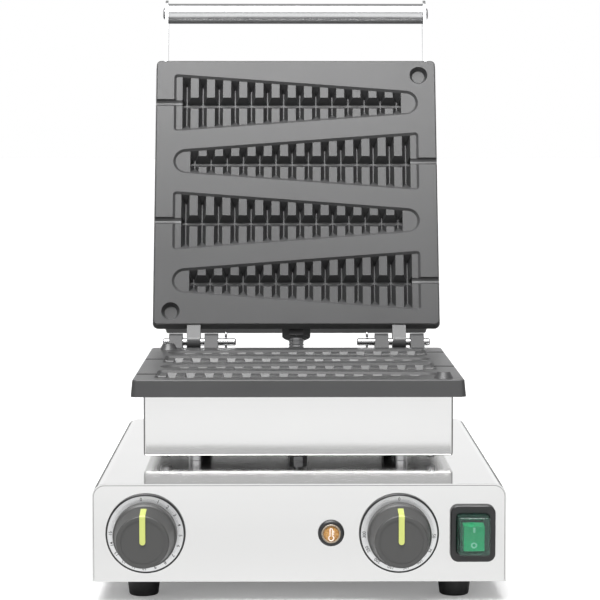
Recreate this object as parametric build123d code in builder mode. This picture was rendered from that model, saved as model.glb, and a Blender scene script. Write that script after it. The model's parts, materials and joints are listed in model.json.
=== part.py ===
from build123d import *
import math
import os

os.makedirs("parts", exist_ok=True)

# Driving sizes in millimetres, for a countertop waffle maker with its lid open
# X runs to the right, Y away from the user, Z up; the floor is Z = 0

# Base cabinet
base_width = 305.0
base_depth = 357.0
base_height = 72.7
base_sheet = 1.2
base_bend = 9.5
base_flange = 14.0
panel_gap = 0.2
panel_lip = 10.0
vent_slot_width = 3.2
vent_slot_height = 26.0
vent_slot_count = 8
vent_slot_pitch = 8.0
vent_side = 54.5
flange_gap = 2.0
bottom_screw_inset = 20.0
rear_screw_inset = 18.0

# Feet
foot_height = 15.3
foot_top_dia = 25.3
foot_tip_dia = 21.7
foot_side_inset = 36.1
foot_end_inset = 30.0
foot_recess_dia = 10.0
foot_recess_depth = 8.0
foot_edge_chamfer = 0.8

# Heater box and the posts that carry it
box_side_overhang = 9.55
box_rear_overhang = 5.0
box_height = 47.2
box_sheet = 1.0
box_corner = 2.0
box_bottom_round = 1.8
box_gap = 6.1
post_dia = 11.0
post_side_inset = 40.0
post_inset = 20.0
sleeve_dia = 7.0
sleeve_bore = 4.6
sleeve_inset = 15.0
sleeve_below = 8.0
sleeve_above = 6.0
gland_nut_width = 12.0
gland_nut_height = 4.2

# Cast plates
plate_width = 257.5
plate_depth = 250.5
plate_rear_inset = 19.0
plate_rim = 13.3
plate_flare = 1.3
plate_corner = 4.0
plate_edge_round = 0.8
core_margin = 14.0
core_depth = 22.0
box_overhang = 9.6
face_gap = 0.5

# Waffle moulds
mould_count = 4
mould_pitch = 56.4
mould_length = 225.1
mould_wide = 55.6
mould_narrow = 23.2
mould_corner = 3.5
mould_recess = 1.8
mould_floor = 12.0
mould_ramp = 2.2
mould_floor_corner = 0.6
pocket_end_draft = 30.0
pocket_draft = 18.0
block_count = 13
block_width = 7.3
block_pitch = 14.94
wide_shelf = 7.7
channel_top = 10.7
channel_floor = 1.9
stick_dia = 6.6

# Locating pegs and sockets
peg_side_inset = 15.35
peg_rear_end = 12.2
peg_front_end = 14.2
socket_mouth_dia = 16.6
socket_floor_dia = 11.2
socket_depth = 5.4
peg_clearance = 0.6

# Hinges
open_angle = 107.9
hinge_back = 15.6
hinge_up = 3.5
hinge_inset = 36.45
knuckle_dia = 15.4
knuckle_width = 12.1
knuckle_gap = 3.8
lug_drop = 11.0
lug_root = 2.0
pin_dia = 6.4
pin_fit = 0.06
pin_outer_end = 5.7
pin_inner_end = 16.0
cotter_dia = 2.0
cotter_place = 7.0
cotter_clearance = 0.15
cotter_tail = 2.5

# Lid casing and handle
casing_height = 47.2
rear_overhang = 6.3
arm_thickness = 2.5
arm_width = 25.0
arm_drop = 36.0
arm_tail = 46.0
handle_reach = 60.2
handle_dia = 19.0
handle_wall = 1.5
handle_plug = 12.0
dome_head_dia = 11.4
dome_head_height = 2.6
arm_screw_length = 6.0

# Heating elements, clamps and insulation
element_dia = 6.5
element_margin = 7.75
element_bend = 27.0
element_tail = 28.0
element_pin_dia = 2.6
element_pin_length = 4.0
element_clearance = 1.5
clamp_thickness = 1.5
clamp_margin = 3.0
insulation_thickness = 20.0
stay_inset = 10.75
stay_end = 22.0
stay_depth = 8.0
bolt_end_gap = 1.0

# Conduit and glands
conduit_dia = 14.0
conduit_bore_clearance = 0.2
conduit_insert = 5.0
conduit_height = 40.0
conduit_lead = 35.0
conduit_back_reach = 73.0
conduit_turn_height = 112.0
conduit_radii = [49.0, 31.0, 30.0]
lid_gland_width = 22.4
lid_gland_length = 10.9
base_gland_length = 12.0
gland_neck_dia = 17.0
gland_neck_length = 9.0
gland_lock_width = 22.0
gland_lock_height = 4.0
mains_gland_inset = 48.5
mains_gland_height = 42.0
mains_gland_width = 19.0
mains_gland_length = 16.0
mains_bore_dia = 8.5

# Controls
control_drop = 0.15
timer_inset = 39.6
thermostat_inset = 79.2
lamp_inset = 129.1
switch_inset = 25.0
bezel_dia = 58.8
bezel_thickness = 3.0
bezel_round = 0.9
scale_dia = 56.0
scale_thickness = 0.8
knob_gap = 0.6
knob_base_dia = 46.8
knob_face_dia = 38.2
knob_skirt = 9.0
knob_step = 1.2
knob_reach = 36.0
knob_wall = 2.6
knob_hub_dia = 13.0
knob_round = 1.6
knob_lip = 1.5
knob_dish = 0.5
pointer_width = 4.2
pointer_depth = 1.0
pointer_proud = 0.4
pointer_start = 20.0
shaft_dia = 6.0
shaft_fit = 0.06
shaft_engage = 18.0
shaft_into_body = 16.0
shaft_end_gap = 2.0
shaft_panel_hole = 11.0
control_body = 42.0
control_body_depth = 34.0
control_body_corner = 3.0
lamp_bezel_dia = 19.4
lamp_bezel_height = 3.2
lamp_bezel_round = 2.0
lamp_lens_dia = 14.2
lamp_lens_height = 4.6
lamp_lens_round = 2.0
lamp_body_dia = 12.6
lamp_body_depth = 32.0
bulb_dia = 6.0
bulb_length = 70.0

# Power switch
switch_frame_width = 33.2
switch_frame_height = 41.9
switch_frame_corner = 6.0
switch_frame_thickness = 5.0
switch_frame_round = 1.4
boot_width = 24.4
boot_height = 29.8
boot_reach = 17.0
boot_wall = 1.0
boot_corner = 3.0
boot_round = 1.8
boot_draft = 2.5
boot_flange = 2.0
boot_flange_thickness = 1.2
switch_body_width = 26.0
switch_body_height = 32.0
switch_body_depth = 26.0
rocker_width = 15.1
rocker_height = 18.4
rocker_reach = 14.0
rocker_travel = 14.0
rocker_pivot_depth = 3.0
rocker_root_height = 13.0
rocker_shoulder = 3.0
rocker_root = 3.0
rocker_dish = 1.2
rocker_gap = 0.4
well_margin = 3.0
well_depth = 9.0
trunnion_dia = 3.0
trunnion_length = 2.0
trunnion_end_gap = 1.0

# Fasteners
pan_head_dia = 8.0
pan_head_height = 2.6
screw_dia = 4.0
bolt_dia = 5.0
bolt_clearance = 0.3
nut_width = 8.0
nut_height = 4.0
bolt_tail = 2.0
terminal_side = -50.8
terminal_inset = 66.0
terminal_length = 50.0
terminal_depth = 22.0
terminal_rise = 16.0
terminal_corner = 2.0
terminal_ways = 4
seat_gap = 0.2

# Places that follow from the driving sizes
base_top = foot_height + base_height
box_bottom = base_top + box_gap
plate_base = box_bottom + box_height
plate_top = plate_base + plate_rim
plate_rear = base_depth - plate_rear_inset
plate_front = plate_rear - plate_depth
core_width = plate_width - 2 * core_margin
core_length = plate_depth - 2 * core_margin
box_width = plate_width + 2 * plate_flare - 2 * box_side_overhang
box_front = plate_front - plate_flare + box_overhang
box_rear = plate_rear + plate_flare - box_rear_overhang
box_depth = box_rear - box_front
post_half_spacing = box_width / 2 - post_side_inset
peg_side = plate_width / 2 - peg_side_inset
hinge_side = plate_width / 2 - hinge_inset
stay_side = core_width / 2 - stay_inset
control_height = foot_height + base_height / 2 - control_drop
timer_side = timer_inset - base_width / 2
thermostat_side = base_width / 2 - thermostat_inset
lamp_side = base_width / 2 - lamp_inset
switch_side = base_width / 2 - switch_inset
mains_gland_side = mains_gland_inset - base_width / 2
lean = math.radians(open_angle - 90)
pin_axis_y = plate_rear + hinge_back
pin_axis_z = plate_top + hinge_up

# The row origin lies on the floor, midway between the knob faces and the open handle
handle_centre_out = hinge_back + plate_depth + handle_reach
handle_centre_in = arm_drop - hinge_up + face_gap
handle_y = pin_axis_y + handle_centre_out * math.sin(lean) + handle_centre_in * math.cos(lean)
rear_reach = handle_y + arm_width / 2
front_reach = knob_reach + pointer_proud
front_y = (front_reach - rear_reach) / 2

# Frames: x to the side, y along the piece, z out of its face
base = Plane((0, front_y, 0))
lower = Plane((0, front_y + plate_rear, plate_top), x_dir=(-1, 0, 0), z_dir=(0, 0, 1))
lid_out = Vector(0, math.sin(lean), math.cos(lean))
lid_normal = Vector(0, -math.cos(lean), math.sin(lean))
pin_axis = Vector(0, front_y + pin_axis_y, pin_axis_z)
lid_corner = pin_axis + lid_out * hinge_back + lid_normal * (hinge_up - face_gap)
lid = Plane(lid_corner, x_dir=(1, 0, 0), z_dir=lid_normal)


def at(frame, x=0.0, y=0.0, z=0.0):
    """A plane like the frame's own, moved to a place in it."""
    return Plane(frame.from_local_coords((x, y, z)), x_dir=frame.x_dir, z_dir=frame.z_dir)


def across(frame, x=0.0, y=0.0, z=0.0):
    """A plane facing along the frame's x; it draws the frame's y to the right and z up."""
    return Plane(frame.from_local_coords((x, y, z)), x_dir=frame.y_dir, z_dir=frame.x_dir)


def facing(frame, x=0.0, y=0.0, z=0.0):
    """A plane facing against the frame's y; it draws the frame's x to the right and z up."""
    return Plane(frame.from_local_coords((x, y, z)), x_dir=frame.x_dir, z_dir=-frame.y_dir)


def back_facing(frame, x=0.0, y=0.0, z=0.0):
    """A plane facing along the frame's y; it draws the frame's x to the left and z up."""
    return Plane(frame.from_local_coords((x, y, z)), x_dir=-frame.x_dir, z_dir=frame.y_dir)


def write(piece, name):
    piece.part.label = name
    export_step(piece.part, "parts/" + name + ".step")


def drills(plane, places, dia, depth):
    """Round drills that reach as far both ways from the plane, for cutting holes."""
    with BuildPart() as tool:
        with BuildSketch(plane):
            with Locations(*places):
                Circle(dia / 2)
        extrude(amount=depth, both=True)
    return tool.part


def pan_screws(plane, places, length, shank_dia=screw_dia):
    """Pan head screws whose heads stand on the plane and whose shanks run below it."""
    with BuildPart() as screws:
        with BuildSketch(plane):
            with Locations(*places):
                Circle(pan_head_dia / 2)
        extrude(amount=pan_head_height)
        chamfer(screws.edges().group_by(Axis(plane.origin, plane.z_dir))[-1], pan_head_height / 3)
        with BuildSketch(plane):
            with Locations(*places):
                Circle(shank_dia / 2)
        extrude(amount=-length)
        with BuildSketch(plane.offset(pan_head_height)):
            with Locations(*places):
                Rectangle(pan_head_dia / 2, pan_head_dia / 8)
                Rectangle(pan_head_dia / 8, pan_head_dia / 2)
        extrude(amount=-pan_head_height / 2, mode=Mode.SUBTRACT)
    return screws


# Base cabinet: a wrapped shell, end panels and a bottom plate

def cabinet_outline(inset):
    """The cabinet's outline seen from the front, drawn inside a plane at its bottom middle."""
    half = base_width / 2 - inset
    top = base_height - inset
    bend = base_bend - inset
    with BuildSketch() as outline:
        with Locations((0, top / 2)):
            Rectangle(2 * half, top)
        fillet(outline.vertices().group_by(Axis.Y)[-1], bend)
    return outline.sketch


post_rows = (box_front + post_inset, box_rear - post_inset)
post_places = [(side * post_half_spacing, row) for side in (-1, 1) for row in post_rows]
sleeve_place = (0, box_front + sleeve_inset)
foot_places = {
    "foot_front_left": (foot_side_inset - base_width / 2, foot_end_inset),
    "foot_front_right": (base_width / 2 - foot_side_inset, foot_end_inset),
    "foot_rear_left": (foot_side_inset - base_width / 2, base_depth - foot_end_inset),
    "foot_rear_right": (base_width / 2 - foot_side_inset, base_depth - foot_end_inset),
}
flange_start = panel_lip + flange_gap
bottom_screw_side = base_width / 2 - base_sheet - base_flange / 2
bottom_screw_start = flange_start + bottom_screw_inset
bottom_screw_rows = (bottom_screw_start, base_depth - bottom_screw_start)
bottom_screw_places = [(side * bottom_screw_side, row) for side in (-1, 1) for row in bottom_screw_rows]
rear_screw_heights = [foot_height + rear_screw_inset, base_top - rear_screw_inset]
bolt_hole = bolt_dia + 2 * bolt_clearance
screw_hole = screw_dia + 2 * bolt_clearance
sleeve_hole = sleeve_dia + 2 * bolt_clearance
rear_screw_row = base_depth - panel_lip / 2 - base_sheet / 2

with BuildPart() as base_shell:
    with BuildSketch(facing(base, z=foot_height)):
        add(cabinet_outline(0))
    extrude(amount=-base_depth)
    with BuildSketch(facing(base, z=foot_height)):
        add(cabinet_outline(base_sheet))
    extrude(amount=-base_depth, mode=Mode.SUBTRACT)
    for side in (-1, 1):
        with BuildSketch(at(base, z=foot_height)):
            with Locations((side * bottom_screw_side, base_depth / 2)):
                Rectangle(base_flange, base_depth - 2 * flange_start)
        extrude(amount=base_sheet)
    add(drills(at(base, z=base_top), post_places, bolt_hole, base_sheet * 4), mode=Mode.SUBTRACT)
    add(drills(at(base, z=base_top), [sleeve_place], sleeve_hole, base_sheet * 4), mode=Mode.SUBTRACT)
    add(drills(at(base, z=foot_height), bottom_screw_places, screw_hole, base_sheet * 2), mode=Mode.SUBTRACT)
    with BuildSketch(across(base)):
        with Locations(*[(rear_screw_row, height) for height in rear_screw_heights]):
            Circle(screw_hole / 2)
    extrude(amount=base_width, both=True, mode=Mode.SUBTRACT)
write(base_shell, "base_shell")


def dished_panel(plane):
    """A dished end panel, drawn on a plane at its outer face, with its lip turned inwards."""
    inset = base_sheet + panel_gap
    with BuildPart() as panel:
        with BuildSketch(plane):
            add(cabinet_outline(inset))
        extrude(amount=-panel_lip)
        with BuildSketch(plane.offset(-base_sheet)):
            add(cabinet_outline(inset))
            offset(amount=-base_sheet, mode=Mode.REPLACE)
        extrude(amount=-panel_lip, mode=Mode.SUBTRACT)
    return panel.part


lamp_hole = lamp_body_dia + 2 * bolt_clearance
switch_cut_width = switch_body_width + 2 * bolt_clearance
switch_cut_height = switch_body_height + 2 * bolt_clearance
front_plane = facing(base, z=foot_height)
control_row = control_height - foot_height

with BuildPart() as front_panel:
    add(dished_panel(front_plane))
    shaft_places = [(timer_side, control_row), (thermostat_side, control_row)]
    add(drills(front_plane, shaft_places, shaft_panel_hole, panel_lip), mode=Mode.SUBTRACT)
    add(drills(front_plane, [(lamp_side, control_row)], lamp_hole, panel_lip), mode=Mode.SUBTRACT)
    with BuildSketch(front_plane):
        with Locations((switch_side, control_row)):
            Rectangle(switch_cut_width, switch_cut_height)
    extrude(amount=panel_lip, both=True, mode=Mode.SUBTRACT)
write(front_panel, "front_panel")

rear_plane = back_facing(base, y=base_depth, z=foot_height)
vent_row = base_height / 2
mains_neck_dia = gland_neck_dia * mains_gland_width / lid_gland_width
conduit_hole = gland_neck_dia + 2 * bolt_clearance
mains_hole = mains_neck_dia + 2 * bolt_clearance
conduit_place = (0, conduit_height - foot_height)
mains_place = (-mains_gland_side, mains_gland_height - foot_height)

with BuildPart() as rear_panel:
    add(dished_panel(rear_plane))
    add(drills(rear_plane, [conduit_place], conduit_hole, panel_lip), mode=Mode.SUBTRACT)
    add(drills(rear_plane, [mains_place], mains_hole, panel_lip), mode=Mode.SUBTRACT)
    with BuildSketch(rear_plane):
        for side in (-1, 1):
            with Locations((side * vent_side, vent_row)):
                with GridLocations(vent_slot_pitch, 1, vent_slot_count // 2, 1):
                    SlotOverall(vent_slot_height, vent_slot_width, rotation=90)
    extrude(amount=-base_sheet, mode=Mode.SUBTRACT)
    with BuildSketch(across(base)):
        with Locations(*[(rear_screw_row, height) for height in rear_screw_heights]):
            Circle(screw_hole / 2)
    extrude(amount=base_width, both=True, mode=Mode.SUBTRACT)
write(rear_panel, "rear_panel")

bottom_plate_z = foot_height + base_sheet
bottom_plate_width = base_width - 2 * base_sheet - 2 * panel_gap
with BuildPart() as bottom_plate:
    with BuildSketch(at(base, y=base_depth / 2, z=bottom_plate_z)):
        Rectangle(bottom_plate_width, base_depth - 2 * flange_start)
        with GridLocations(1, 2 * vent_slot_pitch, 1, vent_slot_count):
            SlotOverall(2 * vent_slot_height, 1.5 * vent_slot_width, mode=Mode.SUBTRACT)
    extrude(amount=base_sheet)
    hole_places = bottom_screw_places + list(foot_places.values())
    add(drills(at(base, z=bottom_plate_z), hole_places, screw_hole, base_sheet * 2), mode=Mode.SUBTRACT)
write(bottom_plate, "bottom_plate")

for name, place in foot_places.items():
    with BuildPart() as foot:
        with BuildSketch(at(base, *place)):
            Circle(foot_tip_dia / 2)
        with BuildSketch(at(base, *place, foot_height)):
            Circle(foot_top_dia / 2)
        loft()
        with BuildSketch(at(base, *place, foot_height)):
            Circle(foot_top_dia / 2)
        extrude(amount=base_sheet)
        chamfer(foot.edges().filter_by(GeomType.CIRCLE).group_by(Axis.Z)[0], foot_edge_chamfer)
        with BuildSketch(at(base, *place)):
            Circle(foot_recess_dia / 2)
        extrude(amount=foot_recess_depth, mode=Mode.SUBTRACT)
        with BuildSketch(at(base, *place)):
            Circle(screw_hole / 2)
        extrude(amount=foot_height + base_sheet, mode=Mode.SUBTRACT)
    write(foot, name)


def from_below(places):
    """The places as a plane that looks down draws them."""
    return [(x, -y) for x, y in places]


foot_screw_plane = Plane(base.from_local_coords((0, 0, foot_recess_depth)), x_dir=(1, 0, 0), z_dir=(0, 0, -1))
foot_screw_length = foot_height - foot_recess_depth + base_sheet * 3
foot_screws = pan_screws(foot_screw_plane, from_below(foot_places.values()), foot_screw_length)
write(foot_screws, "foot_screws")

cabinet_screw_plane = Plane(base.from_local_coords((0, 0, foot_height)), x_dir=(1, 0, 0), z_dir=(0, 0, -1))
with BuildPart() as panel_screws:
    add(pan_screws(cabinet_screw_plane, from_below(bottom_screw_places), base_sheet * 4).part)
    for side in (-1, 1):
        side_face = base.from_local_coords((side * base_width / 2, 0, 0))
        outside = Plane(side_face, x_dir=(0, side, 0), z_dir=(side, 0, 0))
        rows = [(side * rear_screw_row, height) for height in rear_screw_heights]
        add(pan_screws(outside, rows, base_sheet * 4).part)
write(panel_screws, "panel_screws")

# Heater box on its posts

with BuildPart() as support_posts:
    with BuildSketch(at(base, z=base_top)):
        with Locations(*post_places):
            Circle(post_dia / 2)
            Circle(bolt_dia / 2 + bolt_clearance, mode=Mode.SUBTRACT)
    extrude(amount=box_gap)
write(support_posts, "support_posts")

post_bolt_length = box_sheet + box_gap + base_sheet + nut_height + bolt_tail
post_bolts = pan_screws(at(base, z=box_bottom + box_sheet), post_places, post_bolt_length, bolt_dia)
write(post_bolts, "post_bolts")

with BuildPart() as post_nuts:
    with BuildSketch(at(base, z=base_top - base_sheet)):
        with Locations(*post_places):
            RegularPolygon(nut_width / 2, 6, major_radius=False)
            Circle(bolt_dia / 2 + seat_gap / 2, mode=Mode.SUBTRACT)
    extrude(amount=-nut_height)
write(post_nuts, "post_nuts")

stay_row = plate_depth / 2 - stay_end
stays = [(side * stay_side, plate_depth / 2 + end * stay_row) for side in (-1, 1) for end in (-1, 1)]
box_hole_places = post_places + [(x, plate_front + row) for x, row in stays]

with BuildPart() as heater_box:
    box_mid = at(base, y=(box_front + box_rear) / 2, z=box_bottom)
    with BuildSketch(box_mid):
        RectangleRounded(box_width, box_depth, box_corner)
    extrude(amount=box_height)
    fillet(heater_box.edges().group_by(Axis.Z)[0], box_bottom_round)
    with BuildSketch(box_mid.offset(box_sheet)):
        RectangleRounded(box_width - 2 * box_sheet, box_depth - 2 * box_sheet, box_corner - box_sheet)
    extrude(amount=box_height, mode=Mode.SUBTRACT)
    add(drills(at(base, z=box_bottom), box_hole_places, bolt_hole, box_sheet * 3), mode=Mode.SUBTRACT)
    add(drills(at(base, z=box_bottom), [sleeve_place], sleeve_hole, box_sheet * 3), mode=Mode.SUBTRACT)
write(heater_box, "heater_box")

with BuildPart() as wire_sleeve:
    with BuildSketch(at(base, *sleeve_place, base_top - sleeve_below)):
        Circle(sleeve_dia / 2)
        Circle(sleeve_bore / 2, mode=Mode.SUBTRACT)
    extrude(amount=sleeve_below + box_gap + sleeve_above)
write(wire_sleeve, "wire_sleeve")

with BuildPart() as sleeve_gland_nut:
    with BuildSketch(at(base, *sleeve_place, base_top)):
        RegularPolygon(gland_nut_width / 2, 6, major_radius=False)
        Circle(sleeve_dia / 2 + seat_gap / 2, mode=Mode.SUBTRACT)
    extrude(amount=gland_nut_height)
write(sleeve_gland_nut, "sleeve_gland_nut")

# Cast plates with their moulds

mould_half = mould_length / 2


def mould_outline(inset):
    """One tapered mould, wide end at +x and a round end at -x, drawn in by the inset."""
    round_centre = mould_narrow / 2 - mould_half
    side_lean = math.atan2((mould_wide - mould_narrow) / 2, mould_length - mould_narrow / 2)
    shift = inset / math.cos(side_lean)
    end = mould_half - inset
    narrow = mould_narrow / 2 - shift
    wide = mould_wide / 2 - shift - inset * math.tan(side_lean)
    with BuildSketch() as outline:
        with BuildLine():
            Polyline((round_centre, narrow), (end, wide), (end, -wide), (round_centre, -narrow))
            ThreePointArc((round_centre, -narrow), (round_centre - narrow, 0), (round_centre, narrow))
        make_face()
        fillet(outline.vertices().group_by(Axis.X)[-1], max(mould_floor_corner, mould_corner - inset))
    return outline.sketch


pocket_height = mould_floor - mould_recess
pocket_end_fall = pocket_height * math.tan(math.radians(pocket_end_draft))
with BuildPart() as mould_hollow:
    with BuildSketch():
        add(mould_outline(0))
    with BuildSketch(Plane.XY.offset(-mould_recess)):
        add(mould_outline(mould_ramp))
    loft(ruled=True)
    with BuildSketch(Plane.XY.offset(-mould_recess)):
        add(mould_outline(mould_ramp))
    with BuildSketch(Plane.XY.offset(-mould_floor)):
        add(mould_outline(mould_ramp + pocket_end_fall))
    loft(ruled=True)

gap_width = block_pitch - block_width
gap_floor = gap_width - 2 * pocket_height * math.tan(math.radians(pocket_draft))
first_gap = mould_half - wide_shelf - gap_width / 2
channel_start = mould_half - wide_shelf
channel_end = first_gap - block_count * block_pitch - gap_width / 2
with BuildPart() as mould:
    with BuildSketch():
        Rectangle(mould_length, mould_wide)
    extrude(amount=-mould_recess)
    with BuildSketch(facing(Plane.XY)):
        for index in range(block_count + 1):
            middle = first_gap - index * block_pitch
            Polygon(
                (middle - gap_width / 2, -mould_recess), (middle + gap_width / 2, -mould_recess),
                (middle + gap_floor / 2, -mould_floor), (middle - gap_floor / 2, -mould_floor), align=None,
            )
    extrude(amount=mould_wide / 2, both=True)
    with BuildSketch(across(Plane.XY, x=channel_end)):
        Polygon(
            (-channel_top / 2, -mould_recess), (channel_top / 2, -mould_recess),
            (channel_floor / 2, -mould_floor), (-channel_floor / 2, -mould_floor), align=None,
        )
    extrude(amount=channel_start - channel_end)
    add(mould_hollow.part, mode=Mode.INTERSECT)
    with BuildSketch(across(Plane.XY, x=mould_half - wide_shelf)):
        Circle(stick_dia / 2)
    extrude(amount=plate_width)

mould_rows = [plate_depth / 2 + (index - (mould_count - 1) / 2) * mould_pitch for index in range(mould_count)]
flare_angle = math.degrees(math.atan2(plate_flare, plate_rim))


def lug_profile(axis_up):
    """The side outline of one hinge lug, from the plate's edge round the pin."""
    with BuildSketch() as outline:
        with Locations((-hinge_back, axis_up)):
            Circle(knuckle_dia / 2)
        with Locations((lug_root / 2, -(lug_drop + lug_root) / 2)):
            Rectangle(lug_root, lug_drop - lug_root)
        make_hull(outline.edges())
    return outline.sketch


def cast_plate(frame, hand, axis_up, lug_centres, peg_points, socket_points):
    """A waffle plate with its moulds in the frame's top face and its lugs behind."""
    with BuildPart() as plate:
        with BuildSketch(at(frame, y=plate_depth / 2)):
            RectangleRounded(plate_width, plate_depth, plate_corner)
        extrude(amount=-plate_rim, taper=-flare_angle)
        chamfer(plate.edges().group_by(Axis(frame.origin, frame.z_dir))[-1], plate_edge_round)
        with BuildSketch(at(frame, y=plate_depth / 2, z=-plate_rim)):
            RectangleRounded(core_width, core_length, plate_corner)
        extrude(amount=plate_rim - core_depth)
        for centre in lug_centres:
            with BuildSketch(across(frame, x=centre - knuckle_width / 2)):
                add(lug_profile(axis_up))
            extrude(amount=knuckle_width)
        with BuildSketch(across(frame)):
            with Locations((-hinge_back, axis_up)):
                Circle(pin_dia / 2 + pin_fit)
        extrude(amount=plate_width, both=True, mode=Mode.SUBTRACT)
        for index, row in enumerate(mould_rows):
            turn = 0 if hand * (-1) ** index > 0 else 180
            add(mould.part.moved(frame.location * Location((0, row, 0), (0, 0, turn))), mode=Mode.SUBTRACT)
        for point in socket_points:
            with BuildSketch(at(frame, *point)):
                Circle(socket_mouth_dia / 2)
            with BuildSketch(at(frame, *point, -socket_depth)):
                Circle(socket_floor_dia / 2)
            loft(mode=Mode.SUBTRACT)
        for point in peg_points:
            with BuildSketch(at(frame, *point)):
                Circle(socket_mouth_dia / 2 - peg_clearance)
            with BuildSketch(at(frame, *point, socket_depth - peg_clearance)):
                Circle(socket_floor_dia / 2 - peg_clearance)
            loft()
        with BuildSketch(at(frame, z=-core_depth)):
            with Locations(*stays):
                Circle(bolt_dia / 2 + seat_gap / 2)
        extrude(amount=stay_depth, mode=Mode.SUBTRACT)
    return plate


front_peg = (peg_side, plate_depth - peg_front_end)
rear_peg = (-peg_side, peg_rear_end)
lower_pegs = [(-x, row) for x, row in (front_peg, rear_peg)]
knuckle_step = knuckle_width + knuckle_gap
outer_lugs = [side * hinge_side + step * knuckle_step for side in (-1, 1) for step in (-1, 1)]
lower_plate = cast_plate(lower, -1, hinge_up, outer_lugs, lower_pegs, [])
write(lower_plate, "lower_plate")
lid_plate = cast_plate(lid, 1, face_gap - hinge_up, [-hinge_side, hinge_side], [], [front_peg, rear_peg])
write(lid_plate, "lid_plate")

# Heating stack: element, clamp plate and insulation, the same under and over


def heating_stack(frame, prefix, shell_depth):
    """The element lies on the core, the clamp holds it there, and the insulation backs the clamp."""
    element_z = -core_depth - element_dia / 2
    clamp_z = -core_depth - element_dia
    insulation_z = clamp_z - clamp_thickness
    tail_hole = element_dia + 2 * element_clearance
    half_run = core_width / 2 - element_margin
    tail_place = element_bend - half_run
    corners = []
    for index, row in enumerate(mould_rows):
        start, stop = (-half_run, half_run) if index % 2 == 0 else (half_run, -half_run)
        corners += [(start, row), (stop, row)]
    corners[0] = (tail_place, mould_rows[0])
    corners[-1] = (tail_place, mould_rows[-1])
    terminals = [corners[0], corners[-1]]
    with BuildPart() as bent_element:
        with BuildLine(Plane.XY.offset(element_z)) as path:
            FilletPolyline(*corners, radius=element_bend)
        with BuildSketch(Plane(path.line @ 0, z_dir=path.line % 0)):
            Circle(element_dia / 2)
        sweep(path=path.line)
        for x, row in terminals:
            with BuildSketch(at(Plane.XY, x, row, element_z)):
                Circle(element_dia / 2)
            extrude(amount=-element_tail)
            with Locations((x, row, element_z)):
                Sphere(element_dia / 2)
            with BuildSketch(at(Plane.XY, x, row, element_z - element_tail)):
                Circle(element_pin_dia / 2)
            extrude(amount=-element_pin_length)
    with BuildPart() as element:
        add(bent_element.part.moved(frame.location))
    write(element, prefix + "_heating_element")
    layers = (
        ("_element_clamp", clamp_z, clamp_thickness),
        ("_insulation", insulation_z, insulation_thickness),
    )
    for name, top, thickness in layers:
        with BuildPart() as sheet:
            with BuildSketch(at(frame, y=plate_depth / 2, z=top)):
                Rectangle(core_width - 2 * clamp_margin, core_length - 2 * clamp_margin)
            extrude(amount=-thickness)
            add(drills(at(frame, z=top), stays, bolt_hole, 2 * thickness), mode=Mode.SUBTRACT)
            add(drills(at(frame, z=top), terminals, tail_hole, 2 * thickness), mode=Mode.SUBTRACT)
        write(sheet, prefix + name)
    outside = -plate_rim - shell_depth
    head_plane = Plane(frame.from_local_coords((0, 0, outside)), x_dir=frame.x_dir, z_dir=-frame.z_dir)
    stay_length = shell_depth + plate_rim - core_depth + stay_depth - bolt_end_gap
    stay_screws = pan_screws(head_plane, from_below(stays), stay_length, bolt_dia)
    write(stay_screws, prefix + "_plate_screws")


heating_stack(lower, "lower", box_height)
heating_stack(lid, "lid", casing_height)

# Hinge pins and split pins

pin_length = pin_outer_end + pin_inner_end + 3 * knuckle_width + 2 * knuckle_gap
pin_out = hinge_side + 1.5 * knuckle_width + knuckle_gap + pin_outer_end
cotter_side = hinge_side - 1.5 * knuckle_width - knuckle_gap - cotter_place
for side, name in ((-1, "hinge_pin_left"), (1, "hinge_pin_right")):
    with BuildPart() as pin:
        with BuildSketch(across(base, x=side * (pin_out - pin_length / 2), y=pin_axis_y, z=pin_axis_z)):
            Circle(pin_dia / 2)
        extrude(amount=pin_length / 2, both=True)
        fillet(pin.edges().filter_by(GeomType.CIRCLE), pin_dia / 4)
        with BuildSketch(at(base, side * cotter_side, pin_axis_y, pin_axis_z)):
            Circle(cotter_dia / 2 + cotter_clearance)
        extrude(amount=pin_dia, both=True, mode=Mode.SUBTRACT)
    write(pin, name)

eye_radius = cotter_dia * 1.1
with BuildPart() as split_pins:
    for side in (-1, 1):
        cotter_end = pin_axis_z - pin_dia / 2 - cotter_tail
        with BuildSketch(at(base, side * cotter_side, pin_axis_y, cotter_end)):
            Circle(cotter_dia / 2)
        extrude(amount=pin_dia + cotter_tail + cotter_dia / 2)
        eye_height = pin_axis_z + pin_dia / 2 + eye_radius + cotter_dia / 2
        with Locations(across(base, side * cotter_side, pin_axis_y, eye_height).location):
            Torus(eye_radius, cotter_dia / 2)
write(split_pins, "split_pins")

# Lid casing and handle

casing_front = plate_depth + plate_flare - box_overhang
casing_back = rear_overhang - plate_flare
casing_length = casing_front - casing_back
casing_end = -plate_rim - casing_height
arm_rows = [casing_front - arm_tail + arm_width / 2, casing_front - arm_width / 2]

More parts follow.
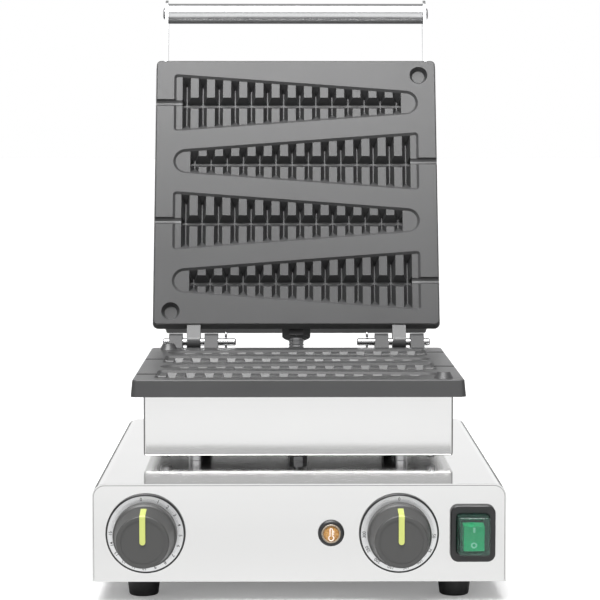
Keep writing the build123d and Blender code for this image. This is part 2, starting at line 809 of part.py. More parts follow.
with BuildPart() as lid_casing:
    casing_mid = at(lid, y=(casing_front + casing_back) / 2, z=-plate_rim)
    with BuildSketch(casing_mid):
        RectangleRounded(box_width, casing_length, box_corner)
    extrude(amount=-casing_height)
    fillet(lid_casing.edges().group_by(Axis(lid.origin, lid.z_dir))[0], box_bottom_round)
    with BuildSketch(casing_mid.offset(-casing_height + box_sheet)):
        RectangleRounded(box_width - 2 * box_sheet, casing_length - 2 * box_sheet, box_corner - box_sheet)
    extrude(amount=casing_height, mode=Mode.SUBTRACT)
    add(drills(at(lid, z=casing_end), stays, bolt_hole, box_sheet * 3), mode=Mode.SUBTRACT)
    with BuildSketch(facing(lid, z=-arm_drop)):
        Circle(gland_neck_dia / 2 + bolt_clearance)
    extrude(amount=-2 * casing_back, both=True, mode=Mode.SUBTRACT)
    with BuildSketch(across(lid)):
        with Locations(*[(row, -arm_drop) for row in arm_rows]):
            Circle(screw_hole / 2)
    extrude(amount=box_width, both=True, mode=Mode.SUBTRACT)
write(lid_casing, "lid_casing")

handle_row = plate_depth + handle_reach
arm_start = casing_front - arm_tail
for side, name in ((-1, "handle_arm_left"), (1, "handle_arm_right")):
    inner_face = box_width / 2 if side > 0 else -box_width / 2 - arm_thickness
    with BuildPart() as arm:
        with BuildSketch(across(lid, x=inner_face)):
            with Locations(((arm_start + handle_row + arm_width / 2) / 2, -arm_drop)):
                SlotOverall(handle_row + arm_width / 2 - arm_start, arm_width)
            with Locations(*[(row, -arm_drop) for row in arm_rows], (handle_row, -arm_drop)):
                Circle(screw_hole / 2, mode=Mode.SUBTRACT)
        extrude(amount=arm_thickness)
    write(arm, name)

with BuildPart() as handle_tube:
    with BuildSketch(across(lid, y=handle_row, z=-arm_drop)):
        Circle(handle_dia / 2)
    extrude(amount=box_width / 2, both=True)
    with BuildSketch(across(lid, y=handle_row, z=-arm_drop)):
        Circle(handle_dia / 2 - handle_wall)
    extrude(amount=box_width / 2 - handle_plug, both=True, mode=Mode.SUBTRACT)
    with BuildSketch(across(lid, y=handle_row, z=-arm_drop)):
        Circle(screw_dia / 2 + seat_gap / 2)
    extrude(amount=box_width / 2, both=True, mode=Mode.SUBTRACT)
write(handle_tube, "handle_tube")


def dome_screws(plane, places, head_dia, rise, length):
    """Domed heads on the plane with their shanks below it."""
    with BuildPart() as screws:
        with BuildSketch(plane):
            with Locations(*places):
                Circle(head_dia / 2)
        extrude(amount=rise)
        fillet(screws.edges().group_by(Axis(plane.origin, plane.z_dir))[-1], rise * 0.95)
        with BuildSketch(plane):
            with Locations(*places):
                Circle(screw_dia / 2)
        extrude(amount=-length)
    return screws.part


with BuildPart() as handle_screws:
    for side in (-1, 1):
        outer_face = lid.from_local_coords((side * (box_width / 2 + arm_thickness), 0, -arm_drop))
        seat = Plane(outer_face, x_dir=lid.y_dir, z_dir=(side, 0, 0))
        arm_spots = [(row, 0) for row in arm_rows]
        add(dome_screws(seat, arm_spots, pan_head_dia, pan_head_height, arm_screw_length))
        plug_screw_length = handle_plug + arm_thickness - bolt_end_gap
        add(dome_screws(seat, [(handle_row, 0)], dome_head_dia, dome_head_height, plug_screw_length))
write(handle_screws, "handle_screws")

# Conduit between the lid and the base, with its glands


def hex_gland(plane, width, length, bore_dia, neck_dia, wall):
    """A hexagon body outside the wall, its neck through it and a lock nut inside."""
    with BuildPart() as gland:
        with BuildSketch(plane):
            RegularPolygon(width / 2, 6, major_radius=False)
        extrude(amount=length)
        chamfer(gland.edges().group_by(Axis(plane.origin, plane.z_dir))[-1], width / 12)
        with BuildSketch(plane):
            Circle(neck_dia / 2)
        extrude(amount=-gland_neck_length)
        with BuildSketch(plane):
            Circle(bore_dia / 2)
        extrude(amount=gland_neck_length + length, both=True, mode=Mode.SUBTRACT)
        with BuildSketch(plane.offset(-wall - seat_gap)):
            RegularPolygon(gland_lock_width / 2 * width / lid_gland_width, 6, major_radius=False)
            Circle(neck_dia / 2 + seat_gap / 2, mode=Mode.SUBTRACT)
        extrude(amount=-gland_lock_height)
    return gland


conduit_bore = conduit_dia + 2 * conduit_bore_clearance
lid_gland_plane = facing(lid, y=casing_back, z=-arm_drop)
lid_conduit_gland = hex_gland(
    lid_gland_plane, lid_gland_width, lid_gland_length, conduit_bore, gland_neck_dia, box_sheet,
)
write(lid_conduit_gland, "lid_conduit_gland")

base_gland_plane = back_facing(base, y=base_depth, z=conduit_height)
base_conduit_gland = hex_gland(
    base_gland_plane, lid_gland_width, base_gland_length, conduit_bore, gland_neck_dia, base_sheet,
)
write(base_conduit_gland, "base_conduit_gland")

mains_gland_plane = back_facing(base, x=mains_gland_side, y=base_depth, z=mains_gland_height)
mains_gland = hex_gland(
    mains_gland_plane, mains_gland_width, mains_gland_length, mains_bore_dia, mains_neck_dia, base_sheet,
)
write(mains_gland, "mains_gland")



def eased_bends(points, radii):
    """The bend radii, drawn in only where a leg is too short for the bends at its ends."""
    legs = [end - start for start, end in zip(points, points[1:])]
    tangents = []
    for before, after, radius in zip(legs, legs[1:], radii):
        tangents.append(radius * math.tan(math.radians(before.get_angle(after)) / 2))
    used = [first + second for first, second in zip([0] + tangents, tangents + [0])]
    room = [min(1, 0.999 * leg.length / need) for leg, need in zip(legs, used)]
    return [radius * min(before, after) for radius, before, after in zip(radii, room, room[1:])]


# The conduit leaves the lid gland straight, swings back behind the cabinet and turns into the base gland
lid_gland_mouth = lid.from_local_coords((0, casing_back - lid_gland_length + conduit_insert, -arm_drop))
base_gland_reach = base_depth + base_gland_length - conduit_insert
base_gland_mouth = base.from_local_coords((0, base_gland_reach, conduit_height))
conduit_back = base_depth + conduit_back_reach
conduit_points = [
    base_gland_mouth,
    base.from_local_coords((0, conduit_back, conduit_height)),
    base.from_local_coords((0, conduit_back, conduit_turn_height)),
    lid_gland_mouth - lid.y_dir * conduit_lead,
    lid_gland_mouth,
]
conduit_bends = eased_bends(conduit_points, conduit_radii)
with BuildPart() as conduit:
    with BuildLine() as route:
        FilletPolyline(*conduit_points, radius=conduit_bends)
    with BuildSketch(Plane(route.line @ 0, z_dir=route.line % 0)):
        Circle(conduit_dia / 2)
    sweep(path=route.line)
write(conduit, "conduit")
conduit_length = sum(edge.length for edge in route.edges())
print("conduit length", round(conduit_length, 1), "bend radii", [round(bend, 3) for bend in conduit_bends])
conduit_section = math.pi * conduit_dia ** 2 / 4
print("conduit volume", round(conduit.part.volume), "of", round(conduit_section * conduit_length))

# Timer and thermostat: bezel, scale ring, body, shaft, knob and pointer


def knob_outline(inset, proud):
    """Half of the knob's section; x is the radius and y the reach in front of the panel."""
    start = bezel_thickness + knob_gap
    base_radius = knob_base_dia / 2 - inset + proud
    face_radius = knob_face_dia / 2 - inset + proud
    reach = knob_reach - inset + proud
    with BuildSketch() as half:
        Polygon(
            (0, start), (base_radius, start), (base_radius, start + knob_skirt),
            (base_radius - knob_step, start + knob_skirt + knob_step),
            (face_radius, reach), (0, reach), align=None,
        )
        fillet(half.vertices().group_by(Axis.Y)[-1].sort_by(Axis.X)[-1], knob_round)
    return half.sketch


def control(name, place_x):
    """One rotary control at its place on the front panel."""
    spot = facing(base, x=place_x, z=control_height)
    spin = Axis(spot.origin, spot.z_dir)
    half_plane = Plane(spot.origin, x_dir=spot.x_dir, z_dir=-spot.y_dir)
    with BuildPart() as bezel:
        with BuildSketch(spot):
            Circle(bezel_dia / 2)
        extrude(amount=bezel_thickness)
        fillet(bezel.edges().group_by(spin)[-1], bezel_round)
        with BuildSketch(spot.offset(bezel_thickness)):
            Circle(scale_dia / 2 + seat_gap / 2)
        extrude(amount=-scale_thickness, mode=Mode.SUBTRACT)
        with BuildSketch(spot):
            Circle(shaft_panel_hole / 2)
        extrude(amount=bezel_thickness, mode=Mode.SUBTRACT)
    write(bezel, name + "_bezel")
    with BuildPart() as scale:
        with BuildSketch(spot.offset(bezel_thickness)):
            Circle(scale_dia / 2)
            Circle(shaft_panel_hole / 2, mode=Mode.SUBTRACT)
        extrude(amount=-scale_thickness)
    write(scale, name + "_scale_ring")
    with BuildPart() as body:
        with BuildSketch(spot.offset(-base_sheet)):
            RectangleRounded(control_body, control_body, control_body_corner)
        extrude(amount=-control_body_depth)
        with BuildSketch(spot.offset(-base_sheet)):
            Circle(shaft_dia / 2 + shaft_fit)
        extrude(amount=-shaft_into_body - shaft_end_gap, mode=Mode.SUBTRACT)
    write(body, name + "_body")
    with BuildPart() as shaft:
        with BuildSketch(spot.offset(-base_sheet - shaft_into_body)):
            Circle(shaft_dia / 2)
        extrude(amount=base_sheet + shaft_into_body + bezel_thickness + knob_gap + shaft_engage)
    write(shaft, name + "_shaft")
    with BuildPart() as band:
        with BuildSketch(half_plane):
            add(knob_outline(0, pointer_proud))
        revolve(axis=spin)
        with BuildSketch(half_plane):
            add(knob_outline(pointer_depth, 0))
        revolve(axis=spin, mode=Mode.SUBTRACT)
    inner_start = bezel_thickness + knob_gap
    with BuildPart() as groove:
        add(band.part)
        with BuildSketch(spot.offset(pointer_start)):
            with Locations((0, knob_base_dia / 2)):
                SlotOverall(knob_base_dia + pointer_width, pointer_width + seat_gap, rotation=90)
        extrude(amount=knob_reach, mode=Mode.INTERSECT)
    with BuildPart() as knob:
        with BuildSketch(half_plane):
            add(knob_outline(0, 0))
        revolve(axis=spin)
        with BuildSketch(spot.offset(inner_start)):
            Circle(knob_base_dia / 2 - knob_wall)
        with BuildSketch(spot.offset(knob_reach - 3 * knob_wall)):
            Circle(knob_face_dia / 2 - knob_wall)
        loft(mode=Mode.SUBTRACT)
        with BuildSketch(spot.offset(inner_start)):
            Circle(knob_hub_dia / 2)
        extrude(amount=knob_reach - 3 * knob_wall - inner_start)
        with BuildSketch(spot.offset(inner_start)):
            Circle(shaft_dia / 2 + shaft_fit)
        extrude(amount=shaft_engage, mode=Mode.SUBTRACT)
        with BuildSketch(spot.offset(knob_reach)):
            Circle(knob_face_dia / 2 - knob_round - knob_lip)
        extrude(amount=-knob_dish, mode=Mode.SUBTRACT)
        add(groove.part, mode=Mode.SUBTRACT)
    write(knob, name + "_knob")
    with BuildPart() as pointer:
        add(band.part)
        with BuildSketch(spot.offset(pointer_start + seat_gap / 2)):
            with Locations((0, knob_base_dia / 2)):
                SlotOverall(knob_base_dia + pointer_width - seat_gap, pointer_width, rotation=90)
        extrude(amount=knob_reach, mode=Mode.INTERSECT)
    write(pointer, name + "_pointer")


control("timer", timer_side)
control("thermostat", thermostat_side)

# The thermostat's sensing bulb lies along the lower core, beside the element
bulb_row = (mould_rows[1] + mould_rows[2]) / 2
with BuildPart() as thermostat_bulb:
    with BuildSketch(across(lower, y=bulb_row, z=-core_depth - bulb_dia / 2)):
        Circle(bulb_dia / 2)
    extrude(amount=bulb_length / 2, both=True)
    fillet(thermostat_bulb.edges().filter_by(GeomType.CIRCLE), bulb_dia / 4)
write(thermostat_bulb, "thermostat_bulb")

# Pilot lamp

lamp_spot = facing(base, x=lamp_side, z=control_height)
lamp_axis = Axis(lamp_spot.origin, lamp_spot.z_dir)
with BuildPart() as lamp_bezel:
    with BuildSketch(lamp_spot):
        Circle(lamp_bezel_dia / 2)
    extrude(amount=lamp_bezel_height)
    fillet(lamp_bezel.edges().group_by(lamp_axis)[-1], lamp_bezel_round)
    with BuildSketch(lamp_spot):
        Circle(lamp_lens_dia / 2 + seat_gap / 2)
    extrude(amount=lamp_bezel_height, mode=Mode.SUBTRACT)
write(lamp_bezel, "lamp_bezel")
with BuildPart() as lamp_lens:
    with BuildSketch(lamp_spot):
        Circle(lamp_lens_dia / 2)
    extrude(amount=lamp_lens_height)
    fillet(lamp_lens.edges().group_by(lamp_axis)[-1], lamp_lens_round)
write(lamp_lens, "lamp_lens")
with BuildPart() as lamp_body:
    with BuildSketch(lamp_spot):
        Circle(lamp_body_dia / 2)
    extrude(amount=-lamp_body_depth)
write(lamp_body, "lamp_body")

# Power switch: frame, clear boot, body and rocker

switch_spot = facing(base, x=switch_side, z=control_height)
switch_axis = Axis(switch_spot.origin, switch_spot.z_dir)
boot_rim_width = boot_width + 2 * boot_flange
boot_rim_height = boot_height + 2 * boot_flange
seat_corner = boot_corner + seat_gap
with BuildPart() as switch_frame:
    with BuildSketch(switch_spot):
        RectangleRounded(switch_frame_width, switch_frame_height, switch_frame_corner)
    extrude(amount=switch_frame_thickness)
    fillet(switch_frame.edges().group_by(switch_axis)[-1], switch_frame_round)
    with BuildSketch(switch_spot):
        RectangleRounded(boot_width + 2 * seat_gap, boot_height + 2 * seat_gap, seat_corner)
    extrude(amount=switch_frame_thickness, mode=Mode.SUBTRACT)
    with BuildSketch(switch_spot):
        RectangleRounded(boot_rim_width + 2 * seat_gap, boot_rim_height + 2 * seat_gap, seat_corner)
    extrude(amount=boot_flange_thickness + seat_gap, mode=Mode.SUBTRACT)
write(switch_frame, "switch_frame")
with BuildPart() as switch_boot:
    with BuildSketch(switch_spot):
        RectangleRounded(boot_rim_width, boot_rim_height, boot_corner)
    extrude(amount=boot_flange_thickness)
    with BuildSketch(switch_spot):
        RectangleRounded(boot_width, boot_height, boot_corner)
    extrude(amount=boot_reach, taper=boot_draft)
    fillet(switch_boot.edges().group_by(switch_axis)[-1], boot_round)
    with BuildSketch(switch_spot):
        RectangleRounded(boot_width - 2 * boot_wall, boot_height - 2 * boot_wall, boot_corner - boot_wall)
    extrude(amount=boot_reach - boot_wall, taper=boot_draft, mode=Mode.SUBTRACT)
write(switch_boot, "switch_boot")

well_width = rocker_width + 2 * rocker_gap
well_height = rocker_root_height + 2 * well_margin
with BuildPart() as switch_body:
    with BuildSketch(switch_spot):
        Rectangle(switch_body_width, switch_body_height)
    extrude(amount=-switch_body_depth)
    with BuildSketch(switch_spot):
        Rectangle(well_width, well_height)
    extrude(amount=-well_depth, mode=Mode.SUBTRACT)
    with BuildSketch(across(base, switch_side, rocker_pivot_depth, control_height)):
        Circle(trunnion_dia / 2 + shaft_fit)
    extrude(amount=rocker_width / 2 + trunnion_length + trunnion_end_gap, both=True, mode=Mode.SUBTRACT)
write(switch_body, "switch_body")

# The rocker rests with its lower end pressed
rest_tilt = math.radians(rocker_travel / 2)
rocker_pivot = base.from_local_coords((switch_side, rocker_pivot_depth, control_height))
rocker_out = Vector(0, -math.cos(rest_tilt), -math.sin(rest_tilt))
rocker_frame = Plane(rocker_pivot, x_dir=(1, 0, 0), z_dir=rocker_out)
crest = rocker_pivot_depth + rocker_reach
shoulder = rocker_pivot_depth + rocker_shoulder
with BuildPart() as power_rocker:
    with BuildSketch(across(rocker_frame, x=-rocker_width / 2)):
        with BuildLine():
            Polyline(
                (-rocker_height / 2, crest), (-rocker_height / 2, shoulder),
                (-rocker_root_height / 2, rocker_pivot_depth), (-rocker_root_height / 2, -rocker_root),
                (rocker_root_height / 2, -rocker_root), (rocker_root_height / 2, rocker_pivot_depth),
                (rocker_height / 2, shoulder), (rocker_height / 2, crest),
            )
            ThreePointArc(
                (rocker_height / 2, crest), (0, crest - rocker_dish), (-rocker_height / 2, crest),
            )
        make_face()
    extrude(amount=rocker_width)
    with BuildSketch(across(rocker_frame)):
        Circle(trunnion_dia / 2)
    extrude(amount=rocker_width / 2 + trunnion_length, both=True)
write(power_rocker, "power_rocker")

# Terminal block on the bottom plate
terminal_spot = at(base, terminal_side, base_depth - terminal_inset, bottom_plate_z + base_sheet)
with BuildPart() as terminal_block:
    with BuildSketch(terminal_spot):
        RectangleRounded(terminal_length, terminal_depth, terminal_corner)
    extrude(amount=terminal_rise)
    with BuildSketch(terminal_spot.offset(terminal_rise)):
        with GridLocations(terminal_length / terminal_ways, terminal_depth / 2, terminal_ways, 2):
            Circle(screw_dia / 2)
    extrude(amount=-terminal_rise / 2, mode=Mode.SUBTRACT)
write(terminal_block, "terminal_block")
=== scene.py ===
import json
import math

import bpy
from mathutils import Matrix, Vector
from mathutils.bvhtree import BVHTree

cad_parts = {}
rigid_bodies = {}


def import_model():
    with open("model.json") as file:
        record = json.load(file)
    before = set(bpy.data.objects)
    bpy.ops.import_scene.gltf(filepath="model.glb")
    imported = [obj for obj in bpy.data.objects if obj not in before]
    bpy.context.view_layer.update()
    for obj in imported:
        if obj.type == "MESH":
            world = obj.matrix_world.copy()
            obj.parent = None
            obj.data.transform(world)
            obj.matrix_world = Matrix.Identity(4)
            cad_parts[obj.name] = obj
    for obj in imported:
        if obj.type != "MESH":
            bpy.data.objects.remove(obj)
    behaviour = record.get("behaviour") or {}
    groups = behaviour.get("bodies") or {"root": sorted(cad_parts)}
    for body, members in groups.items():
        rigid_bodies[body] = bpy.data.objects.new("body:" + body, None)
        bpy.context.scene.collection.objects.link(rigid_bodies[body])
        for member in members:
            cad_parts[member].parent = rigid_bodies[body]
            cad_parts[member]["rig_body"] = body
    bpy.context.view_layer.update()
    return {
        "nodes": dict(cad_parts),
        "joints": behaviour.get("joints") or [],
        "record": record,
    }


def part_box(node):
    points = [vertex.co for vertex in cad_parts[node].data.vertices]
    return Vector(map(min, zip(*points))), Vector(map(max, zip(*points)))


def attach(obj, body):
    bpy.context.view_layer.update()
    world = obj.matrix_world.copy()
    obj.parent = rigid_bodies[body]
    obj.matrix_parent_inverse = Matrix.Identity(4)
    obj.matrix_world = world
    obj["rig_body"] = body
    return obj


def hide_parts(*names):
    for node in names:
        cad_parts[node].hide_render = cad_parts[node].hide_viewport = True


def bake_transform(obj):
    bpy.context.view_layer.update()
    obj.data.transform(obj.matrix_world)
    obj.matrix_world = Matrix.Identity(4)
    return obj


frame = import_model()
nodes = frame["nodes"]
joints = {joint["name"]: joint for joint in frame["joints"]}
print("frame loaded:", len(nodes), "nodes")

scene = bpy.context.scene
scene.view_settings.view_transform = "Standard"
mm = 0.001
weldGap = 0.002 * mm  # corners closer than this are one corner

# Places read from the frame
lidHinge = Vector(joints["lid_hinge"]["pos_m"])
lidLean = math.radians(joints["lid_hinge"]["range_deg"][1] - 90)  # how far the open lid leans back
timerSpot = Vector(joints["timer_turn"]["pos_m"])
thermostatSpot = Vector(joints["thermostat_turn"]["pos_m"])
panelFront = timerSpot.y
lampLow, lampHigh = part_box("lamp_lens")
lampSpot = (lampLow + lampHigh) / 2


# Small helpers for working as by hand

def deselectAll():
    bpy.ops.object.select_all(action="DESELECT")


def active():
    return bpy.context.view_layer.objects.active


def pick(piece):
    deselectAll()
    piece.hide_set(False)
    piece.select_set(True)
    bpy.context.view_layer.objects.active = piece


def editAll(piece):
    pick(piece)
    bpy.ops.object.mode_set(mode="EDIT")
    bpy.ops.mesh.select_all(action="SELECT")


def leaveEdit():
    bpy.ops.object.mode_set(mode="OBJECT")


def applyPlace(piece):
    pick(piece)
    bpy.ops.object.transform_apply(location=True, rotation=True, scale=True)


def addModifier(piece, kind, **settings):
    made = piece.modifiers.new(kind.lower(), kind)
    for key, value in settings.items():
        setattr(made, key, value)


def applyModifiers(piece):
    pick(piece)
    for name in [made.name for made in piece.modifiers]:
        bpy.ops.object.modifier_apply(modifier=name)


def fixNormals(piece):
    editAll(piece)
    bpy.ops.mesh.remove_doubles(threshold=weldGap)
    bpy.ops.mesh.normals_make_consistent(inside=False)
    leaveEdit()


def smoothed(piece, degrees=32):
    pick(piece)
    bpy.ops.object.shade_smooth_by_angle(angle=math.radians(degrees))


def dress(piece, material, body, stands=()):
    # A finished piece gets its material and its body, and the nodes it stands for are hidden
    piece.data.materials.clear()
    piece.data.materials.append(material)
    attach(piece, body)
    if stands:
        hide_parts(*stands)


def joinAll(pieces, name):
    deselectAll()
    for piece in pieces:
        piece.select_set(True)
    bpy.context.view_layer.objects.active = pieces[0]
    bpy.ops.object.join()
    made = active()
    made.name = name
    made.data.name = name
    return made


# Helpers for shader nodes

def addNode(tree, kind, x, y, **settings):
    made = tree.nodes.new(kind)
    made.location = (x, y)
    for key, value in settings.items():
        setattr(made, key, value)
    return made


def feed(tree, socket, value):
    # A socket takes a number, a colour or what another node puts out
    if isinstance(value, tuple):
        socket.default_value = (*value, 1)
    elif isinstance(value, (int, float)):
        socket.default_value = value
    else:
        tree.links.new(value, socket)


def maths(tree, operation, values, x, y, clamp=False):
    made = addNode(tree, "ShaderNodeMath", x, y, operation=operation, use_clamp=clamp)
    for index, value in enumerate(values):
        feed(tree, made.inputs[index], value)
    return made.outputs[0]


def blendValue(tree, share, first, second, x, y):
    mixed = addNode(tree, "ShaderNodeMix", x, y)
    for index, value in ((0, share), (2, first), (3, second)):  # the node's sockets for plain numbers
        feed(tree, mixed.inputs[index], value)
    return mixed.outputs[0]


def blendColor(tree, share, first, second, x, y):
    mixed = addNode(tree, "ShaderNodeMix", x, y, data_type="RGBA")
    for index, value in ((0, share), (6, first), (7, second)):  # the node's sockets for colours
        feed(tree, mixed.inputs[index], value)
    return mixed.outputs[2]


def ranged(tree, value, source, result, x, y, curve="SMOOTHSTEP"):
    made = addNode(tree, "ShaderNodeMapRange", x, y, interpolation_type=curve)
    for label, number in zip(("From Min", "From Max", "To Min", "To Max"), (*source, *result)):
        made.inputs[label].default_value = number
    tree.links.new(value, made.inputs["Value"])
    return made.outputs[0]


def noiseNode(tree, vector, x, y, scale=1.0, detail=2.0, roughness=0.5, distortion=0.0):
    made = addNode(tree, "ShaderNodeTexNoise", x, y)
    tree.links.new(vector, made.inputs["Vector"])
    settings = {"Scale": scale, "Detail": detail, "Roughness": roughness, "Distortion": distortion}
    for label, value in settings.items():
        feed(tree, made.inputs[label], value)
    return made.outputs[0]


def bump(tree, shader, height, strength, depth):
    made = addNode(tree, "ShaderNodeBump", -200, -300)
    made.inputs["Strength"].default_value = strength
    made.inputs["Distance"].default_value = depth
    tree.links.new(height, made.inputs["Height"])
    tree.links.new(made.outputs[0], shader.inputs["Normal"])


def newGroup(name, inputs, outputs):
    # A node group with its named sockets, and its two end nodes
    group = bpy.data.node_groups.new(name, "ShaderNodeTree")
    for label, kind, start in inputs:
        socket = group.interface.new_socket(name=label, in_out="INPUT", socket_type=kind)
        if start is not None:
            socket.default_value = start
    for label in outputs:
        group.interface.new_socket(name=label, in_out="OUTPUT", socket_type="NodeSocketFloat")
    return group, addNode(group, "NodeGroupInput", -900, 0), addNode(group, "NodeGroupOutput", 700, 0)


def useGroup(tree, group, x, y, **values):
    made = addNode(tree, "ShaderNodeGroup", x, y, node_tree=group)
    for label, value in values.items():
        made.inputs[label].default_value = value
    return made


# Effects that several materials share

def brushedGroup():
    # Fine lines along X on faces that look up, forward or back, and along Y on the side faces
    group, start, end = newGroup("brushedLines", [
        ("Vector", "NodeSocketVector", None),
        ("Across", "NodeSocketFloat", 1600.0),
        ("Along", "NodeSocketFloat", 9.0),
    ], ["Lines", "Wide"])
    links = group.links
    place = addNode(group, "ShaderNodeTexCoord", -900, -300)
    apart = addNode(group, "ShaderNodeSeparateXYZ", -700, -300)
    links.new(place.outputs["Normal"], apart.inputs[0])
    leaning = maths(group, "ABSOLUTE", (apart.outputs[0],), -500, -300)
    side = maths(group, "GREATER_THAN", (leaning, 0.7), -300, -300)  # faces turned mostly sideways
    found = []
    for row, longAxis in ((200, 0), (-50, 1)):
        stretch = addNode(group, "ShaderNodeCombineXYZ", -600, row)
        for axis in range(3):
            links.new(start.outputs["Along" if axis == longAxis else "Across"], stretch.inputs[axis])
        scaled = addNode(group, "ShaderNodeVectorMath", -400, row, operation="MULTIPLY")
        links.new(start.outputs["Vector"], scaled.inputs[0])
        links.new(stretch.outputs[0], scaled.inputs[1])
        fine = noiseNode(group, scaled.outputs[0], -200, row, detail=3.0, roughness=0.65)
        wide = noiseNode(group, scaled.outputs[0], -200, row - 130, scale=0.12)
        found.append((fine, wide))
    for index, label in enumerate(("Lines", "Wide")):
        chosen = blendValue(group, side, found[0][index], found[1][index], 300, -200 * index)
        links.new(chosen, end.inputs[label])
    return group


def castGroup():
    # The grain of a sprayed or moulded skin: fine bumps, a few pits and slow changes of tone
    group, start, end = newGroup("castSkin", [
        ("Grain", "NodeSocketFloat", 1400.0),
        ("Pits", "NodeSocketFloat", 0.35),
        ("Drift", "NodeSocketFloat", 14.0),
    ], ["Height", "Tone"])
    links = group.links
    place = addNode(group, "ShaderNodeTexCoord", -900, 300).outputs["Object"]
    fine = noiseNode(group, place, -500, 300, start.outputs["Grain"], 4.0, 0.6)
    cells = addNode(group, "ShaderNodeTexVoronoi", -500, 0)
    links.new(place, cells.inputs["Vector"])
    # Pits lie wider apart than the grain, and each is small in its cell
    spacing = maths(group, "MULTIPLY", (start.outputs["Grain"], 0.35), -700, 0)
    links.new(spacing, cells.inputs["Scale"])
    hole = maths(group, "LESS_THAN", (cells.outputs["Distance"], 0.16), -300, 0)
    sunk = maths(group, "MULTIPLY", (hole, start.outputs["Pits"]), -100, 0)
    links.new(maths(group, "SUBTRACT", (fine, sunk), 100, 150), end.inputs["Height"])
    links.new(noiseNode(group, place, -500, -300, start.outputs["Drift"], 5.0, 0.55), end.inputs["Tone"])
    return group


def wearGroup():
    # Where a handled edge is rubbed: the edges marked on the mesh, broken up by noise
    group, start, end = newGroup("edgeWear", [
        ("Amount", "NodeSocketFloat", 0.6),
        ("Break", "NodeSocketFloat", 90.0),
    ], ["Worn"])
    marked = addNode(group, "ShaderNodeAttribute", -700, 200, attribute_name="worn")
    place = addNode(group, "ShaderNodeTexCoord", -900, -100).outputs["Object"]
    noise = noiseNode(group, place, -700, -100, start.outputs["Break"], 6.0, 0.7)
    broken = ranged(group, noise, (0.38, 0.62), (0.0, 1.0), -450, -100, "LINEAR")
    both = maths(group, "MULTIPLY", (marked.outputs["Fac"], broken), -200, 0)
    group.links.new(maths(group, "MULTIPLY", (both, start.outputs["Amount"]), 100, 0), end.inputs["Worn"])
    return group


def smudgeGroup():
    # Wiped marks and handling: large soft patches that change the gloss
    group, start, end = newGroup("wipedMarks", [
        ("Size", "NodeSocketFloat", 9.0),
        ("Amount", "NodeSocketFloat", 0.05),
    ], ["Change"])
    place = addNode(group, "ShaderNodeTexCoord", -900, 0).outputs["Object"]
    noise = noiseNode(group, place, -600, 0, start.outputs["Size"], 5.0, 0.6, 1.2)
    centred = maths(group, "SUBTRACT", (noise, 0.5), -300, 0)
    group.links.new(maths(group, "MULTIPLY", (centred, start.outputs["Amount"]), 0, 0), end.inputs["Change"])
    return group


brushedLines = brushedGroup()
castSkin = castGroup()
edgeWear = wearGroup()
wipedMarks = smudgeGroup()


def newMaterial(name, color, metallic, roughness):
    material = bpy.data.materials.new(name)
    material.use_nodes = True
    material.diffuse_color = (*color, 1)
    tree = material.node_tree
    shader = tree.nodes["Principled BSDF"]
    shader.inputs["Base Color"].default_value = (*color, 1)
    shader.inputs["Metallic"].default_value = metallic
    shader.inputs["Roughness"].default_value = roughness
    return material, tree, shader


# Stainless steel, rolled on the cabinet and brushed on the handle

sheetSteel = {
    "color": (0.74, 0.74, 0.735), "dark": (0.7, 0.7, 0.7), "roughness": 0.11, "lineGloss": 0.03,
    "across": 1600.0, "along": 9.0, "bump": 0.004, "depth": 0.00004, "marks": 0.06, "marksSize": 11.0,
}
satinSteel = {
    "color": (0.72, 0.725, 0.73), "dark": (0.6, 0.6, 0.61), "roughness": 0.26, "lineGloss": 0.03,
    "across": 1900.0, "along": 14.0, "bump": 0.1, "depth": 0.00004, "marks": 0.06, "marksSize": 11.0,
}


def steelMaterial(name, look, tilt=0.0):
    # Tilt turns the lines with a leaning piece
    material, tree, shader = newMaterial(name, look["color"], 1.0, look["roughness"])
    place = addNode(tree, "ShaderNodeTexCoord", -1300, 0)
    turn = addNode(tree, "ShaderNodeMapping", -1100, 0)
    turn.inputs["Rotation"].default_value = (tilt, 0, 0)
    tree.links.new(place.outputs["Object"], turn.inputs["Vector"])
    lines = useGroup(tree, brushedLines, -850, 0, Across=look["across"], Along=look["along"])
    tree.links.new(turn.outputs[0], lines.inputs["Vector"])
    marks = useGroup(tree, wipedMarks, -850, -250, Size=look["marksSize"], Amount=look["marks"])
    share = maths(tree, "MULTIPLY", (lines.outputs["Wide"], 0.5), -600, 150)  # half way to dark at most
    shown = blendColor(tree, share, look["color"], look["dark"], -350, 200)
    tree.links.new(shown, shader.inputs["Base Color"])
    plain = look["roughness"] - look["lineGloss"] / 2
    gloss = maths(tree, "MULTIPLY_ADD", (lines.outputs["Lines"], look["lineGloss"], plain), -600, -50)
    tree.links.new(maths(tree, "ADD", (gloss, marks.outputs[0]), -350, -80, True), shader.inputs["Roughness"])
    bump(tree, shader, lines.outputs["Lines"], look["bump"], look["depth"])
    return material


# Cast, sprayed, moulded, plated and printed skins, with their edges rubbed

